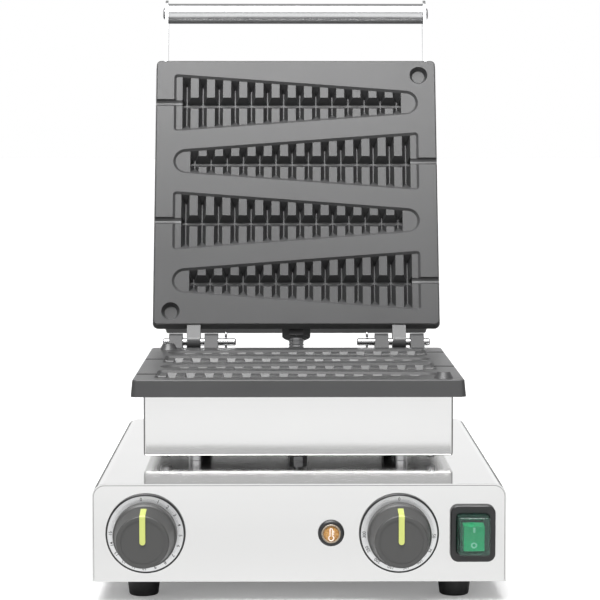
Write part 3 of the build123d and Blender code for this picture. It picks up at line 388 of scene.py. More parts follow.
# Grain is in cells per metre, depth in metres, and the rest are shares; a skin names only what isn't usual
usualSkin = {
    "metallic": 0.0, "grain": 1400.0, "depth": 0.00006, "strength": 0.35, "wear": 0.5, "tone": 0.35,
    "coat": 0.0, "coatRoughness": 0.2, "toneGloss": 0.16, "rubbedGloss": -0.12,
}
skins = {
    "plate_coating": {
        "name": "plateCoating", "color": (0.046, 0.046, 0.047), "worn": (0.2, 0.2, 0.2), "roughness": 0.4,
        "grain": 1300.0, "depth": 0.0001, "strength": 0.5, "wear": 0.55, "tone": 0.16,
        "coat": 0.2, "coatRoughness": 0.3,
    },
    "bright_fastener": {
        "name": "brightZinc", "color": (0.62, 0.62, 0.63), "worn": (0.75, 0.75, 0.75), "roughness": 0.27,
        "metallic": 1.0, "grain": 2600.0, "depth": 0.00002, "wear": 0.3, "tone": 0.08,
    },
    "post_steel": {
        "name": "polishedSteel", "color": (0.68, 0.68, 0.69), "worn": (0.8, 0.8, 0.8), "roughness": 0.12,
        "metallic": 1.0, "grain": 900.0, "depth": 0.00001, "strength": 0.15, "wear": 0.2, "tone": 0.06,
    },
    "foot_rubber": {
        "name": "footRubber", "color": (0.012, 0.012, 0.013), "worn": (0.03, 0.03, 0.03), "roughness": 0.55,
        "grain": 2200.0, "depth": 0.00008, "wear": 0.4,
    },
    "black_plastic": {
        "name": "blackPlastic", "color": (0.016, 0.016, 0.017), "worn": (0.06, 0.06, 0.06), "roughness": 0.33,
        "grain": 2400.0, "depth": 0.00004, "wear": 0.35, "tone": 0.2,
    },
    "knob_grey": {
        "name": "knobGrey", "color": (0.062, 0.062, 0.061), "worn": (0.16, 0.16, 0.16), "roughness": 0.42,
        "grain": 2600.0, "depth": 0.00004, "tone": 0.07,
    },
    "pointer_yellow": {
        "name": "pointerYellow", "color": (0.55, 0.6, 0.17), "worn": (0.8, 0.85, 0.6), "roughness": 0.4,
        "grain": 2400.0, "depth": 0.00003, "tone": 0.05,
    },
    "shaft_steel": {
        "name": "plainSteel", "color": (0.5, 0.5, 0.5), "worn": (0.7, 0.7, 0.7), "roughness": 0.35,
        "metallic": 1.0, "wear": 0.2, "tone": 0.08,
    },
    "gland_metal": {
        "name": "glandMetal", "color": (0.2, 0.2, 0.205), "worn": (0.5, 0.5, 0.5), "roughness": 0.34,
        "metallic": 1.0, "grain": 1900.0, "depth": 0.00004, "wear": 0.6, "tone": 0.15,
    },
    "element_steel": {
        "name": "elementSheath", "color": (0.16, 0.17, 0.15), "worn": (0.4, 0.4, 0.4), "roughness": 0.45,
        "metallic": 1.0, "wear": 0.3, "tone": 0.2,
    },
    "insulation_fibre": {
        "name": "fibreBoard", "color": (0.78, 0.77, 0.72), "worn": (0.9, 0.9, 0.88), "roughness": 0.9,
        "grain": 700.0, "depth": 0.0004, "wear": 0.2, "tone": 0.06,
    },
    "terminal_white": {
        "name": "terminalWhite", "color": (0.8, 0.8, 0.76), "worn": (0.9, 0.9, 0.9), "roughness": 0.4,
        "wear": 0.2, "tone": 0.04,
    },
    "rocker_green": {
        "name": "rockerGreen", "color": (0.008, 0.56, 0.27), "worn": (0.2, 0.75, 0.5), "roughness": 0.3,
        "grain": 1900.0, "depth": 0.00002, "wear": 0.4, "tone": 0.05,
    },
    "conduit_steel": {
        "name": "conduitSteel", "color": (0.6, 0.6, 0.61), "worn": (0.75, 0.75, 0.75), "roughness": 0.2,
        "metallic": 1.0, "grain": 1500.0, "depth": 0.00002, "wear": 0.2, "tone": 0.12,
    },
    "lampRim": {
        "name": "lampRim", "color": (0.3, 0.245, 0.185), "worn": (0.5, 0.45, 0.38), "roughness": 0.25,
        "grain": 2400.0, "depth": 0.00002, "wear": 0.2, "tone": 0.1,
    },
    "lampSign": {
        "name": "lampSign", "color": (0.95, 0.78, 0.66), "worn": (1.0, 0.95, 0.9), "roughness": 0.35,
        "wear": 0.1, "tone": 0.04,
    },
    "print": {
        "name": "darkPrint", "color": (0.02, 0.02, 0.022), "worn": (0.05, 0.05, 0.05), "roughness": 0.5,
        "wear": 0.1, "tone": 0.2,
    },
    "whitePrint": {
        "name": "whitePrint", "color": (0.95, 0.98, 0.96), "worn": (0.9, 0.9, 0.9), "roughness": 0.45,
        "wear": 0.1, "tone": 0.04,
    },
}


def skinMaterial(look):
    look = {**usualSkin, **look}
    color = look["color"]
    material, tree, shader = newMaterial(look["name"], color, look["metallic"], look["roughness"])
    skin = useGroup(tree, castSkin, -900, 100, Grain=look["grain"])
    wear = useGroup(tree, edgeWear, -900, -200, Amount=look["wear"])
    darker = tuple(value * (1 - look["tone"]) for value in color)
    paler = tuple(value * (1 + look["tone"]) for value in color)
    toned = blendColor(tree, skin.outputs["Tone"], darker, paler, -600, 200)
    shown = blendColor(tree, wear.outputs[0], toned, look["worn"], -350, 200)
    tree.links.new(shown, shader.inputs["Base Color"])
    plain = look["roughness"] - look["toneGloss"] / 2
    change = maths(tree, "MULTIPLY_ADD", (skin.outputs["Tone"], look["toneGloss"], plain), -600, -50)
    rubbed = maths(tree, "MULTIPLY", (wear.outputs[0], look["rubbedGloss"]), -600, -200)
    tree.links.new(maths(tree, "ADD", (change, rubbed), -350, -80, True), shader.inputs["Roughness"])
    shader.inputs["Coat Weight"].default_value = look["coat"]
    shader.inputs["Coat Roughness"].default_value = look["coatRoughness"]
    bump(tree, shader, skin.outputs["Height"], look["strength"], look["depth"])
    return material


# The clear splash boot over the switch

bootSilicone = {
    "color": (0.5, 0.82, 0.7), "roughness": 0.05, "clear": 0.97, "ior": 1.38,
    "marksSize": 160.0, "marks": 0.03, "grain": 900.0, "bump": 0.1, "depth": 0.00003,
}


def bootMaterial():
    look = bootSilicone
    material, tree, shader = newMaterial("clearBoot", look["color"], 0.0, look["roughness"])
    shader.inputs["Transmission Weight"].default_value = look["clear"]
    shader.inputs["IOR"].default_value = look["ior"]
    marks = useGroup(tree, wipedMarks, -700, 0, Size=look["marksSize"], Amount=look["marks"])
    gloss = maths(tree, "ADD", (marks.outputs[0], look["roughness"]), -400, 0, True)
    tree.links.new(gloss, shader.inputs["Roughness"])
    skin = useGroup(tree, castSkin, -700, -250, Grain=look["grain"])
    bump(tree, shader, skin.outputs["Height"], look["bump"], look["depth"])
    return material


# Spun aluminium of the dial plates, with fine rings round each dial's own centre

spunAluminium = {
    "color": (0.78, 0.785, 0.79), "roughness": 0.3, "ringGloss": 0.12, "rings": 5200.0,
    "bump": 0.8, "depth": 0.00008,
}


def ringMaterial(name, centre):
    look = spunAluminium
    material, tree, shader = newMaterial(name, look["color"], 1.0, look["roughness"])
    place = addNode(tree, "ShaderNodeTexCoord", -1300, 0)
    shift = addNode(tree, "ShaderNodeMapping", -1100, 0)
    shift.inputs["Location"].default_value = tuple(-value for value in centre)
    tree.links.new(place.outputs["Object"], shift.inputs["Vector"])
    flat = addNode(tree, "ShaderNodeVectorMath", -1000, 150, operation="MULTIPLY")
    flat.inputs[1].default_value = (1, 0, 1)
    tree.links.new(shift.outputs[0], flat.inputs[0])
    length = addNode(tree, "ShaderNodeVectorMath", -900, 0, operation="LENGTH")
    tree.links.new(flat.outputs[0], length.inputs[0])
    rings = addNode(tree, "ShaderNodeTexNoise", -700, 0, noise_dimensions="1D")
    rings.inputs["Scale"].default_value = look["rings"]
    rings.inputs["Detail"].default_value = 2.0
    tree.links.new(length.outputs["Value"], rings.inputs["W"])
    plain = look["roughness"] - look["ringGloss"] / 2
    gloss = maths(tree, "MULTIPLY_ADD", (rings.outputs[0], look["ringGloss"], plain), -400, -50)
    tree.links.new(gloss, shader.inputs["Roughness"])
    bump(tree, shader, rings.outputs[0], look["bump"], look["depth"])
    return material


# Amber plastic with painted light: its colour is painted brighter where the cuts would catch the light and
# darker brown as painted shade in its depths

amber = {
    "color": (0.75, 0.42, 0.1), "paintedGlint": (0.62, 0.36, 0.11), "paintedDepthShade": (0.34, 0.13, 0.012), "cells": 900.0,
    "roughness": 0.12, "coat": 0.6, "coatRoughness": 0.05, "grain": 900.0, "bump": 0.1, "depth": 0.00003,
}


def amberMaterial():
    look = amber
    material, tree, shader = newMaterial("amberLens", look["color"], 0.0, look["roughness"])
    place = addNode(tree, "ShaderNodeTexCoord", -1000, 0)
    cells = addNode(tree, "ShaderNodeTexVoronoi", -750, 0)
    cells.inputs["Scale"].default_value = look["cells"]
    tree.links.new(place.outputs["Object"], cells.inputs["Vector"])
    # Painted light: brighter in the middle of each cell as a painted glint, darker brown towards the cell's
    # edge as painted shade
    color = blendColor(tree, cells.outputs["Distance"], look["paintedGlint"], look["paintedDepthShade"], -400, 100)
    tree.links.new(color, shader.inputs["Base Color"])
    shader.inputs["Coat Weight"].default_value = look["coat"]
    shader.inputs["Coat Roughness"].default_value = look["coatRoughness"]
    skin = useGroup(tree, castSkin, -700, -250, Grain=look["grain"])
    bump(tree, shader, skin.outputs["Height"], look["bump"], look["depth"])
    return material


materials = {slot: skinMaterial(look) for slot, look in skins.items()}
materials.update({
    "stainless_sheet": steelMaterial("sheetSteel", sheetSteel),
    "lidSheet": steelMaterial("lidSheetSteel", sheetSteel, lidLean),
    "handle_steel": steelMaterial("handleSteel", satinSteel, lidLean),
    "clear_boot": bootMaterial(),
    "lens_amber": amberMaterial(),
    "timerRing": ringMaterial("timerRingMetal", timerSpot),
    "thermostatRing": ringMaterial("thermostatRingMetal", thermostatSpot),
})
print("materials made:", len(materials))

slotOf = {row["node"]: row["material_slot"] for row in frame["record"]["subparts"]}
lidNodes = set(frame["record"]["behaviour"]["bodies"]["lid"])
ringOf = {"timer_scale_ring": "timerRing", "thermostat_scale_ring": "thermostatRing"}


def materialFor(name):
    key = ringOf.get(name, slotOf[name])
    if key == "stainless_sheet" and name in lidNodes:
        key = "lidSheet"
    return materials[key]


# Every node gets its finish, also those that a dressed copy replaces
for name, node in nodes.items():
    node.data.materials.clear()
    node.data.materials.append(materialFor(name))


# Dressed copies: the same shape with its edges eased, as a press, a mould or a file leaves them

easing = {
    "lower_plate": {"width": 0.4, "steps": 2}, "lid_plate": {"width": 0.4, "steps": 2},
    "base_shell": {"width": 0.15, "steps": 2}, "front_panel": {"width": 0.15, "steps": 2},
    "rear_panel": {"width": 0.35, "steps": 2}, "bottom_plate": {"width": 0.25, "steps": 1},
    "heater_box": {"width": 0.1, "steps": 1}, "lid_casing": {"width": 0.25, "steps": 2},
    "handle_arm_left": {"width": 0.5, "steps": 3}, "handle_arm_right": {"width": 0.5, "steps": 3},
    "handle_tube": {"width": 0.4, "steps": 2}, "handle_screws": {"width": 0.15, "steps": 2},
    "support_posts": {"width": 0.3, "steps": 2}, "sleeve_gland_nut": {"width": 0.3, "steps": 2},
    "hinge_pin_left": {"width": 0.12, "steps": 1}, "hinge_pin_right": {"width": 0.12, "steps": 1},
    "foot_front_left": {"width": 0.5, "steps": 3}, "foot_front_right": {"width": 0.5, "steps": 3},
    "foot_rear_left": {"width": 0.5, "steps": 3}, "foot_rear_right": {"width": 0.5, "steps": 3},
    "timer_knob": {"width": 0.35, "steps": 3}, "thermostat_knob": {"width": 0.35, "steps": 3},
    "timer_pointer": {"width": 0.25, "steps": 3}, "thermostat_pointer": {"width": 0.25, "steps": 3},
    "timer_bezel": {"width": 0.12, "steps": 2}, "thermostat_bezel": {"width": 0.12, "steps": 2},
    "switch_frame": {"width": 0.4, "steps": 3}, "switch_boot": {"width": 0.3, "steps": 3},
    "power_rocker": {"width": 0.35, "steps": 3}, "lamp_bezel": {"width": 0.1, "steps": 2},
    "lid_conduit_gland": {"width": 0.35, "steps": 2}, "base_conduit_gland": {"width": 0.35, "steps": 2},
    "mains_gland": {"width": 0.35, "steps": 2}, "panel_screws": {"width": 0.12, "steps": 2},
    "lid_plate_screws": {"width": 0.12, "steps": 2}, "foot_screws": {"width": 0.12, "steps": 2},
}
# Weld is in millimetres, and flat, corner and smooth in degrees; weight lets the large faces lead the shading
eased = {"weld": 0.004, "flat": 0.6, "corner": 34, "smooth": 40, "weight": 60}


def easedCopy(name, width, steps):
    source = nodes[name]
    pick(source)
    bpy.ops.object.duplicate()
    piece = active()
    for key in list(piece.keys()):
        del piece[key]  # what the frame wrote on the node isn't true of its copy
    piece.parent = None
    piece.name = name + ".eased"
    editAll(piece)
    bpy.ops.mesh.customdata_custom_splitnormals_clear()
    bpy.ops.mesh.remove_doubles(threshold=eased["weld"] * mm)
    bpy.ops.mesh.dissolve_limited(angle_limit=math.radians(eased["flat"]))
    leaveEdit()
    piece.data.materials.append(materials["print"])  # a second slot for a moment, to tell the new faces by
    addModifier(
        piece, "BEVEL", width=width * mm, segments=steps, limit_method="ANGLE",
        angle_limit=math.radians(eased["corner"]), use_clamp_overlap=True, material=1,
        miter_outer="MITER_ARC", harden_normals=False,
    )
    applyModifiers(piece)
    worn = piece.data.attributes.new("worn", "FLOAT", "CORNER")
    for face in piece.data.polygons:
        if face.material_index == 1:
            for corner in face.loop_indices:
                worn.data[corner].value = 1.0
            face.material_index = 0
    smoothed(piece, eased["smooth"])
    addModifier(piece, "WEIGHTED_NORMAL", keep_sharp=True, weight=eased["weight"])
    applyModifiers(piece)
    dress(piece, materialFor(name), source["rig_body"], [name])


for name, size in easing.items():
    easedCopy(name, size["width"], size["steps"])
print("eased copies made:", len(easing))


# Numbers printed on the dial plates; each mark is its words and its degrees clockwise from the top

timerDial = {
    "centre": timerSpot, "radius": 25.6, "height": 3.5,
    "marks": [("0", -7.0)] + [(str(minutes), 3.8 + 17.8 * minutes) for minutes in range(1, 16)],
}
thermostatDial = {
    "centre": thermostatSpot, "radius": 25.6, "height": 3.3,
    "marks": [("0", 0.0)] + [
        (str(heat), 94.0 + 24.9 * index) for index, heat in enumerate((50, 75, 100, 125, 150, 200, 250, 300))
    ],
}
dialPrint = {"thick": 0.06, "proud": 0.02, "bolder": 0.008, "curveSteps": 3}


def flatText(words, height):
    # Upright lettering that faces the user, centred on the origin
    deselectAll()
    bpy.ops.object.text_add(location=(0, 0, 0))
    letters = active().data
    letters.body = words
    letters.size = height
    letters.extrude = dialPrint["thick"] * mm / 2
    letters.offset = dialPrint["bolder"] * height
    letters.align_x = "CENTER"
    letters.align_y = "CENTER"
    letters.resolution_u = dialPrint["curveSteps"]
    bpy.ops.object.convert(target="MESH")
    made = active()
    made.rotation_euler = (math.radians(90), 0, 0)
    applyPlace(made)
    return made


def dialNumbers(dial, ringNode, name):
    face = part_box(ringNode)[0].y
    reach = dial["radius"] * mm
    made = []
    for words, degrees in dial["marks"]:
        piece = flatText(words, dial["height"] * mm)
        turn = math.radians(degrees)
        spot = dial["centre"] + Vector((math.sin(turn) * reach, 0, math.cos(turn) * reach))
        spot.y = face - dialPrint["proud"] * mm
        piece.matrix_world = Matrix.Translation(spot) @ Matrix.Rotation(turn, 4, "Y")
        applyPlace(piece)
        made.append(piece)
    joined = joinAll(made, name)
    fixNormals(joined)
    dress(joined, materials["print"], "base")


dialNumbers(timerDial, "timer_scale_ring", "timer_numbers")
dialNumbers(thermostatDial, "thermostat_scale_ring", "thermostat_numbers")
print("dial numbers made")


# Pilot lamp: a lens with cut facets, a rim round it and a thermometer sign on it, each of them
# set back by so many millimetres from the front of the plain lens

lampLens = {
    "facets": 32, "radius": 5.8, "step": 3.9, "rise": 0.35, "back": 1.75,
    "edge": 0.4, "front": 0.7, "inset": 0.9, "insetRise": 0.12, "near": 0.05, "smooth": 8,
}


def makeLampLens():
    look = lampLens
    deselectAll()
    spot = Vector((lampSpot.x, lampLow.y + look["back"] * mm, lampSpot.z))
    bpy.ops.mesh.primitive_circle_add(
        vertices=look["facets"], radius=look["radius"] * mm, fill_type="NGON",
        location=spot, rotation=(math.radians(90), 0, 0),
    )
    lens = active()
    lens.name = "lamp_lens_cut"
    applyPlace(lens)
    editAll(lens)
    inward = look["step"] / look["radius"]
    bpy.ops.mesh.extrude_region_move(TRANSFORM_OT_translate={"value": (0, -look["edge"] * mm, 0)})
    bpy.ops.mesh.extrude_region_move(TRANSFORM_OT_translate={"value": (0, -look["front"] * mm, 0)})
    bpy.ops.transform.resize(value=(inward, 1, inward), center_override=spot)
    bpy.ops.mesh.inset(thickness=look["inset"] * mm, depth=look["insetRise"] * mm)
    leaveEdit()
    # Every second corner of the outer ring stands forward, which cuts the slope into facets
    ringFront = spot.y - look["edge"] * mm
    for point in lens.data.vertices:
        angle = math.atan2(point.co.x - spot.x, point.co.z - spot.z)
        onRing = abs(point.co.y - ringFront) < look["near"] * mm
        if onRing and round(angle / math.tau * look["facets"]) % 2:
            point.co.y -= look["rise"] * mm
    fixNormals(lens)
    smoothed(lens, look["smooth"])
    dress(lens, materials["lens_amber"], "base", ["lamp_lens"])


lampRim = {"radius": 6.4, "thick": 0.68, "steps": 48, "sides": 12, "back": 1.0, "deeper": 1.5}


def makeLampRim():
    look = lampRim
    deselectAll()
    bpy.ops.mesh.primitive_torus_add(
        major_radius=look["radius"] * mm, minor_radius=look["thick"] * mm,
        major_segments=look["steps"], minor_segments=look["sides"],
        location=(lampSpot.x, lampLow.y + look["back"] * mm, lampSpot.z), rotation=(math.radians(90), 0, 0),
    )
    rim = active()
    rim.name = "lamp_lens_rim"
    rim.scale = (1, 1, look["deeper"])
    applyPlace(rim)
    smoothed(rim)
    dress(rim, materials["lampRim"], "base")


lampSign = {
    "bulbRadius": 1.85, "bulbDown": 3.15, "bulbSteps": 24, "stemHalf": 0.85, "stemTop": 3.05, "tipSteps": 8,
    "line": 0.45, "lineRound": 2, "ticks": (-0.4, 0.8, 2.0), "tickEnd": 2.11, "back": 0.3, "flat": 0.4,
}


def signLine(curve, points, closed):
    spline = curve.splines.new("POLY")
    spline.points.add(len(points) - 1)
    for point, (x, z) in zip(spline.points, points):
        point.co = (x * mm, 0, z * mm, 1)
    spline.use_cyclic_u = closed


def makeLampSign():
    look = lampSign
    curve = bpy.data.curves.new("lamp_sign", "CURVE")
    curve.dimensions = "3D"
    curve.bevel_depth = look["line"] * mm
    curve.bevel_resolution = look["lineRound"]
    bulb, stem = look["bulbRadius"], look["stemHalf"]
    opening = math.asin(stem / bulb)
    points = []
    for index in range(look["bulbSteps"] + 1):
        angle = opening + index / look["bulbSteps"] * (math.tau - 2 * opening)
        points.append((bulb * math.sin(angle), bulb * math.cos(angle) - look["bulbDown"]))
    for index in range(look["tipSteps"] + 1):
        angle = math.pi * (1 - index / look["tipSteps"])
        points.append((stem * math.cos(angle), look["stemTop"] + stem * math.sin(angle)))
    signLine(curve, points, True)
    for height in look["ticks"]:
        signLine(curve, [(stem + look["line"], height), (look["tickEnd"], height)], False)
    sign = bpy.data.objects.new("lamp_sign", curve)
    scene.collection.objects.link(sign)
    pick(sign)
    bpy.ops.object.convert(target="MESH")
    sign = active()
    sign.location = (lampSpot.x, lampLow.y + look["back"] * mm, lampSpot.z)
    sign.scale = (1, look["flat"], 1)
    applyPlace(sign)
    fixNormals(sign)
    smoothed(sign)
    dress(sign, materials["lampSign"], "base")


makeLampLens()
makeLampRim()
makeLampSign()
print("lamp made")


# I and O on the rocker, laid on its dished face

rockerMarks = {
    "lineWidth": 1.6, "lineHeight": 4.2, "lineThick": 0.2, "lineEdge": 0.09, "edgeSteps": 2, "lineUp": 5.9,
    "ringRadius": 1.7, "ringLine": 0.6, "ringFlat": 0.25, "ringDown": 5.6, "ringSteps": 32, "ringSides": 8,
    "lookFrom": 50.0,
}


def rockerFace(up):
    # The point on the rocker's face at a height above its middle, and the way it looks there
    mesh = nodes["power_rocker"].data
    corners = [point.co for point in mesh.vertices]
    solid = BVHTree.FromPolygons(corners, [face.vertices for face in mesh.polygons])
    low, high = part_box("power_rocker")
    middle = (low + high) / 2
    inFront = Vector((middle.x, low.y - rockerMarks["lookFrom"] * mm, middle.z + up * mm))
    return solid.ray_cast(inFront, Vector((0, 1, 0)))[:2]


def layOnRocker(piece, up):
    point, normal = rockerFace(up)
    piece.matrix_world = Matrix.Translation(point) @ normal.to_track_quat("Z", "Y").to_matrix().to_4x4()
    applyPlace(piece)


def makeRockerMarks():
    look = rockerMarks
    deselectAll()
    bpy.ops.mesh.primitive_cube_add(
        size=1, location=(0, 0, 0),
        scale=(look["lineWidth"] * mm, look["lineHeight"] * mm, look["lineThick"] * mm),
    )
    line = active()
    applyPlace(line)
    addModifier(line, "BEVEL", width=look["lineEdge"] * mm, segments=look["edgeSteps"])
    applyModifiers(line)
    deselectAll()
    bpy.ops.mesh.primitive_torus_add(
        major_radius=look["ringRadius"] * mm, minor_radius=look["ringLine"] * mm,
        major_segments=look["ringSteps"], minor_segments=look["ringSides"],
    )
    ring = active()
    ring.scale = (1, 1, look["ringFlat"])
    applyPlace(ring)
    layOnRocker(line, look["lineUp"])
    layOnRocker(ring, -look["ringDown"])
    joined = joinAll([line, ring], "rocker_marks")
    smoothed(joined)
    dress(joined, materials["whitePrint"], "rocker")


makeRockerMarks()
print("rocker marks made")


# Conduit: a flexible steel hose with fine turns, from the gland on the cabinet up to the gland on the lid.
# Its places are (Y, Z) in the middle plane, and it enters the lid's gland along the lean of the lid

hose = {
    "insert": 5.0, "turnUp": 72.0, "lead": 35.0, "endFromHinge": (35.92, 3.85),
    "radius": 6.9, "groove": 0.45, "turn": 2.4, "rings": 4, "sides": 28, "curveSteps": 40, "smooth": 60,
    "bendStart": (185.0, 62.0), "bendEnd": (153.0, 146.0),
}


def hoseRoute():
    # From the cabinet's gland out to the back, up, and over to the lid's gland
    glandLow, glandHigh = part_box("base_conduit_gland")
    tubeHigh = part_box("conduit")[1]
    height = (glandLow.z + glandHigh.z) / 2
    back = tubeHigh.y - tubeHigh.x  # the plain tube reaches one radius to the side, and so to the back
    endY, endZ = lidHinge.y + hose["endFromHinge"][0] * mm, lidHinge.z + hose["endFromHinge"][1] * mm
    lead = hose["lead"] * mm
    return [
        (glandHigh.y - hose["insert"] * mm, height),
        (back, height),
        (back, height + hose["turnUp"] * mm),
        (endY - lead * math.sin(lidLean), endZ - lead * math.cos(lidLean)),
        (endY, endZ),
    ]


def middleLine():
    # The smooth line along the route, as points
    route = hoseRoute()
    curve = bpy.data.curves.new("hoseRoute", "CURVE")
    curve.dimensions = "3D"
    curve.resolution_u = hose["curveSteps"]
    spline = curve.splines.new("NURBS")
    spline.points.add(len(route) - 1)
    for point, (y, z) in zip(spline.points, route):
        point.co = (0, y, z, 1)
    spline.order_u = 3
    spline.use_endpoint_u = True
    guide = bpy.data.objects.new("hoseRoute", curve)
    scene.collection.objects.link(guide)
    bpy.context.view_layer.update()
    line = bpy.data.meshes.new_from_object(guide.evaluated_get(bpy.context.evaluated_depsgraph_get()))
    places = [point.co.copy() for point in line.vertices]
    bpy.data.objects.remove(guide)
    return places


def evenPlaces(places, step):
    # The same line cut into equal steps, each place with its direction
    reach = [0.0]
    for before, after in zip(places, places[1:]):
        reach.append(reach[-1] + (after - before).length)
    count = round(reach[-1] / step)
    found = []
    index = 0
    for number in range(count + 1):
        wanted = reach[-1] * number / count
        while index < len(places) - 2 and reach[index + 1] < wanted:
            index += 1
        share = (wanted - reach[index]) / (reach[index + 1] - reach[index])
        found.append(places[index].lerp(places[index + 1], share))
    ways = []
    for number in range(count + 1):
        ways.append((found[min(number + 1, count)] - found[max(number - 1, 0)]).normalized())
    return list(zip(found, ways))


def makeHose():
    sides = hose["sides"]
    across = Vector((1, 0, 0))
    points, faces = [], []
    rows = evenPlaces(middleLine(), hose["turn"] / hose["rings"] * mm)
    for number, (place, way) in enumerate(rows):
        up = across.cross(way).normalized()
        wave = 0.5 - 0.5 * math.cos(math.tau * number / hose["rings"])
        radius = (hose["radius"] - hose["groove"] * wave) * mm
        for corner in range(sides):
            angle = math.tau * corner / sides
            points.append(place + across * math.cos(angle) * radius + up * math.sin(angle) * radius)
    for start in range(0, (len(rows) - 1) * sides, sides):
        for corner in range(sides):
            here, beside = start + corner, start + (corner + 1) % sides
            faces.append((here, beside, beside + sides, here + sides))
    last = (len(rows) - 1) * sides
    faces.append(tuple(range(sides)))
    faces.append(tuple(last + corner for corner in reversed(range(sides))))
    mesh = bpy.data.meshes.new("conduit_hose")
    mesh.from_pydata(points, [], faces)
    piece = bpy.data.objects.new("conduit_hose", mesh)
    scene.collection.objects.link(piece)
    fixNormals(piece)
    smoothed(piece, hose["smooth"])
    piece.data.materials.append(materials["conduit_steel"])
    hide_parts("conduit")
    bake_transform(piece)


makeHose()
print("conduit made")


# Floor: whitish paper, seen white from everywhere; for all other rays it has painted shade, so it throws back
# less light near the front of the object, behind it and beside it

paper = {
    "size": 60.0, "color": (0.92, 0.92, 0.92), "roughness": 0.75, "lift": 0.2,
    "far": 1.0, "near": 0.66, "nearing": (-1.3, -0.2),
    "behind": 0.2, "falling": (-0.1, 0.35), "beyond": 0.6, "rising": (0.4, 0.9),
    "sides": 0.25, "widening": (0.05, 0.45), "slant": 0.7,
}


def makeFloor():
    look = paper
    deselectAll()
    bpy.ops.mesh.primitive_plane_add(size=look["size"], location=(0, 0, 0))
    floor = active()
    floor.name = "studioFloor"
    material, tree, shader = newMaterial("paleFloor", look["color"], 0.0, look["roughness"])
    floor.data.materials.append(material)
    place = addNode(tree, "ShaderNodeTexCoord", -1500, 0)
    apart = addNode(tree, "ShaderNodeSeparateXYZ", -1300, 0)
    tree.links.new(place.outputs["Object"], apart.inputs[0])
    x, y = apart.outputs[0], apart.outputs[1]
    # Painted shade, seen by every ray but the camera's: darker near the object's front, behind it and beside
    # it, and lighter again far behind
    front = ranged(tree, y, look["nearing"], (look["far"], look["near"]), -900, 100)
    fall = ranged(tree, y, look["falling"], (1.0, look["behind"]), -900, -150)
    rise = ranged(tree, y, look["rising"], (0.0, look["beyond"]), -900, -250)
    back = maths(tree, "ADD", (fall, rise), -750, -200)
    across = maths(tree, "ABSOLUTE", (x,), -1100, -300)
    beside = maths(tree, "MULTIPLY_ADD", (y, look["slant"], across), -1000, -400)
    sides = ranged(tree, beside, look["widening"], (1.0, look["sides"]), -900, -400)
    paintedShade = maths(tree, "MULTIPLY", (maths(tree, "MULTIPLY", (front, back), -650, 0), sides), -500, 0)
    seen = addNode(tree, "ShaderNodeLightPath", -700, 300).outputs["Is Camera Ray"]
    tree.links.new(blendValue(tree, seen, paintedShade, look["color"][0], -300, 0), shader.inputs["Base Color"])
    tree.links.new(maths(tree, "MULTIPLY", (seen, look["lift"]), -300, -300), shader.inputs["Emission Color"])
    shader.inputs["Emission Strength"].default_value = 1.0


# White walls all round as in a photographer's cove, and a greyer ceiling above the lights

cove = {
    "seen": 1.0, "back": 1.06, "front": 0.76, "turning": (-0.2, 0.2),
    "sides": 0.36, "corner": (0.6, 0.85), "ceiling": 0.36, "rising": (0.12, 0.45),
}


def makeWorld():
    world = bpy.data.worlds.new("studioWorld")
    scene.world = world
    world.use_nodes = True
    tree = world.node_tree
    where = addNode(tree, "ShaderNodeTexCoord", -1100, 0)
    apart = addNode(tree, "ShaderNodeSeparateXYZ", -900, 0)
    tree.links.new(where.outputs["Generated"], apart.inputs[0])
    x, y, z = apart.outputs
    around = ranged(tree, y, cove["turning"], (cove["front"], cove["back"]), -900, -400)
    beside = ranged(tree, maths(tree, "ABSOLUTE", (x,), -900, -200), cove["corner"], (0.0, 1.0), -700, -200)
    walls = blendValue(tree, beside, around, cove["sides"], -600, -300)
    low = ranged(tree, z, cove["rising"], (1.0, 0.0), -700, 0)
    glow = blendValue(tree, low, cove["ceiling"], walls, -500, -100)
    seen = addNode(tree, "ShaderNodeLightPath", -700, 300).outputs["Is Camera Ray"]
    light = tree.nodes["Background"]
    light.inputs["Color"].default_value = (1, 1, 1, 1)
    tree.links.new(blendValue(tree, seen, glow, cove["seen"], -300, 0), light.inputs["Strength"])


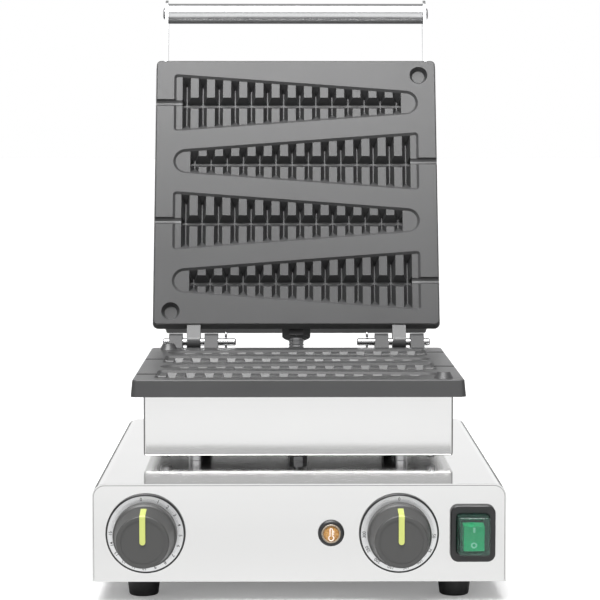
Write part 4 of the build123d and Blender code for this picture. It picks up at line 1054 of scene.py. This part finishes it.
# A wide soft light from above, then two boxes: one for the open lid and one for the whole object

ceilingSun = {"spot": (-1, -1, 3), "way": (0.25, 0.35, -1), "power": 2.25, "width": 45}


def makeSun():
    deselectAll()
    bpy.ops.object.light_add(type="SUN", location=ceilingSun["spot"])
    sun = active()
    sun.name = "ceilingLight"
    sun.data.energy = ceilingSun["power"]
    sun.data.angle = math.radians(ceilingSun["width"])
    sun.rotation_euler = Vector(ceilingSun["way"]).to_track_quat("-Z", "Y").to_euler()


lightBoxes = {
    "lidBox": {
        "spot": (-0.1, -0.6, 1.15), "target": (0, 0.08, 0.36), "size": (1.1, 0.3), "power": 1.8, "spread": 70,
    },
    "ceilingBox": {
        "spot": (0, -0.9, 1.9), "target": (0, -0.1, 0.15), "size": (2.2, 1.5), "power": 6.5, "spread": 70,
    },
}


def makeLightBox(name, look):
    deselectAll()
    bpy.ops.object.light_add(type="AREA", location=look["spot"])
    lamp = active()
    lamp.name = name
    lamp.data.shape = "RECTANGLE"
    lamp.data.size, lamp.data.size_y = look["size"]
    lamp.data.energy = look["power"]
    lamp.data.spread = math.radians(look["spread"])
    lamp.rotation_euler = (Vector(look["target"]) - Vector(look["spot"])).to_track_quat("-Z", "Y").to_euler()


# The camera stands before the panel, a little to the left, and looks down a few degrees

viewpoint = {
    "left": 10.95, "before": 1528.8, "height": 342.06, "down": 4.44, "right": 0.43,
    "lens": 126.2, "sensor": 36, "reach": 100,
}


def makeCamera():
    deselectAll()
    spot = (-viewpoint["left"] * mm, panelFront - viewpoint["before"] * mm, viewpoint["height"] * mm)
    bpy.ops.object.camera_add(location=spot)
    camera = active()
    camera.name = "photoCamera"
    camera.rotation_euler = (math.radians(90 - viewpoint["down"]), 0, -math.radians(viewpoint["right"]))
    camera.data.sensor_width = viewpoint["sensor"]
    camera.data.lens = viewpoint["lens"]
    camera.data.clip_end = viewpoint["reach"]
    scene.camera = camera


makeFloor()
makeWorld()
makeSun()
for name, look in lightBoxes.items():
    makeLightBox(name, look)
makeCamera()
print("studio made")
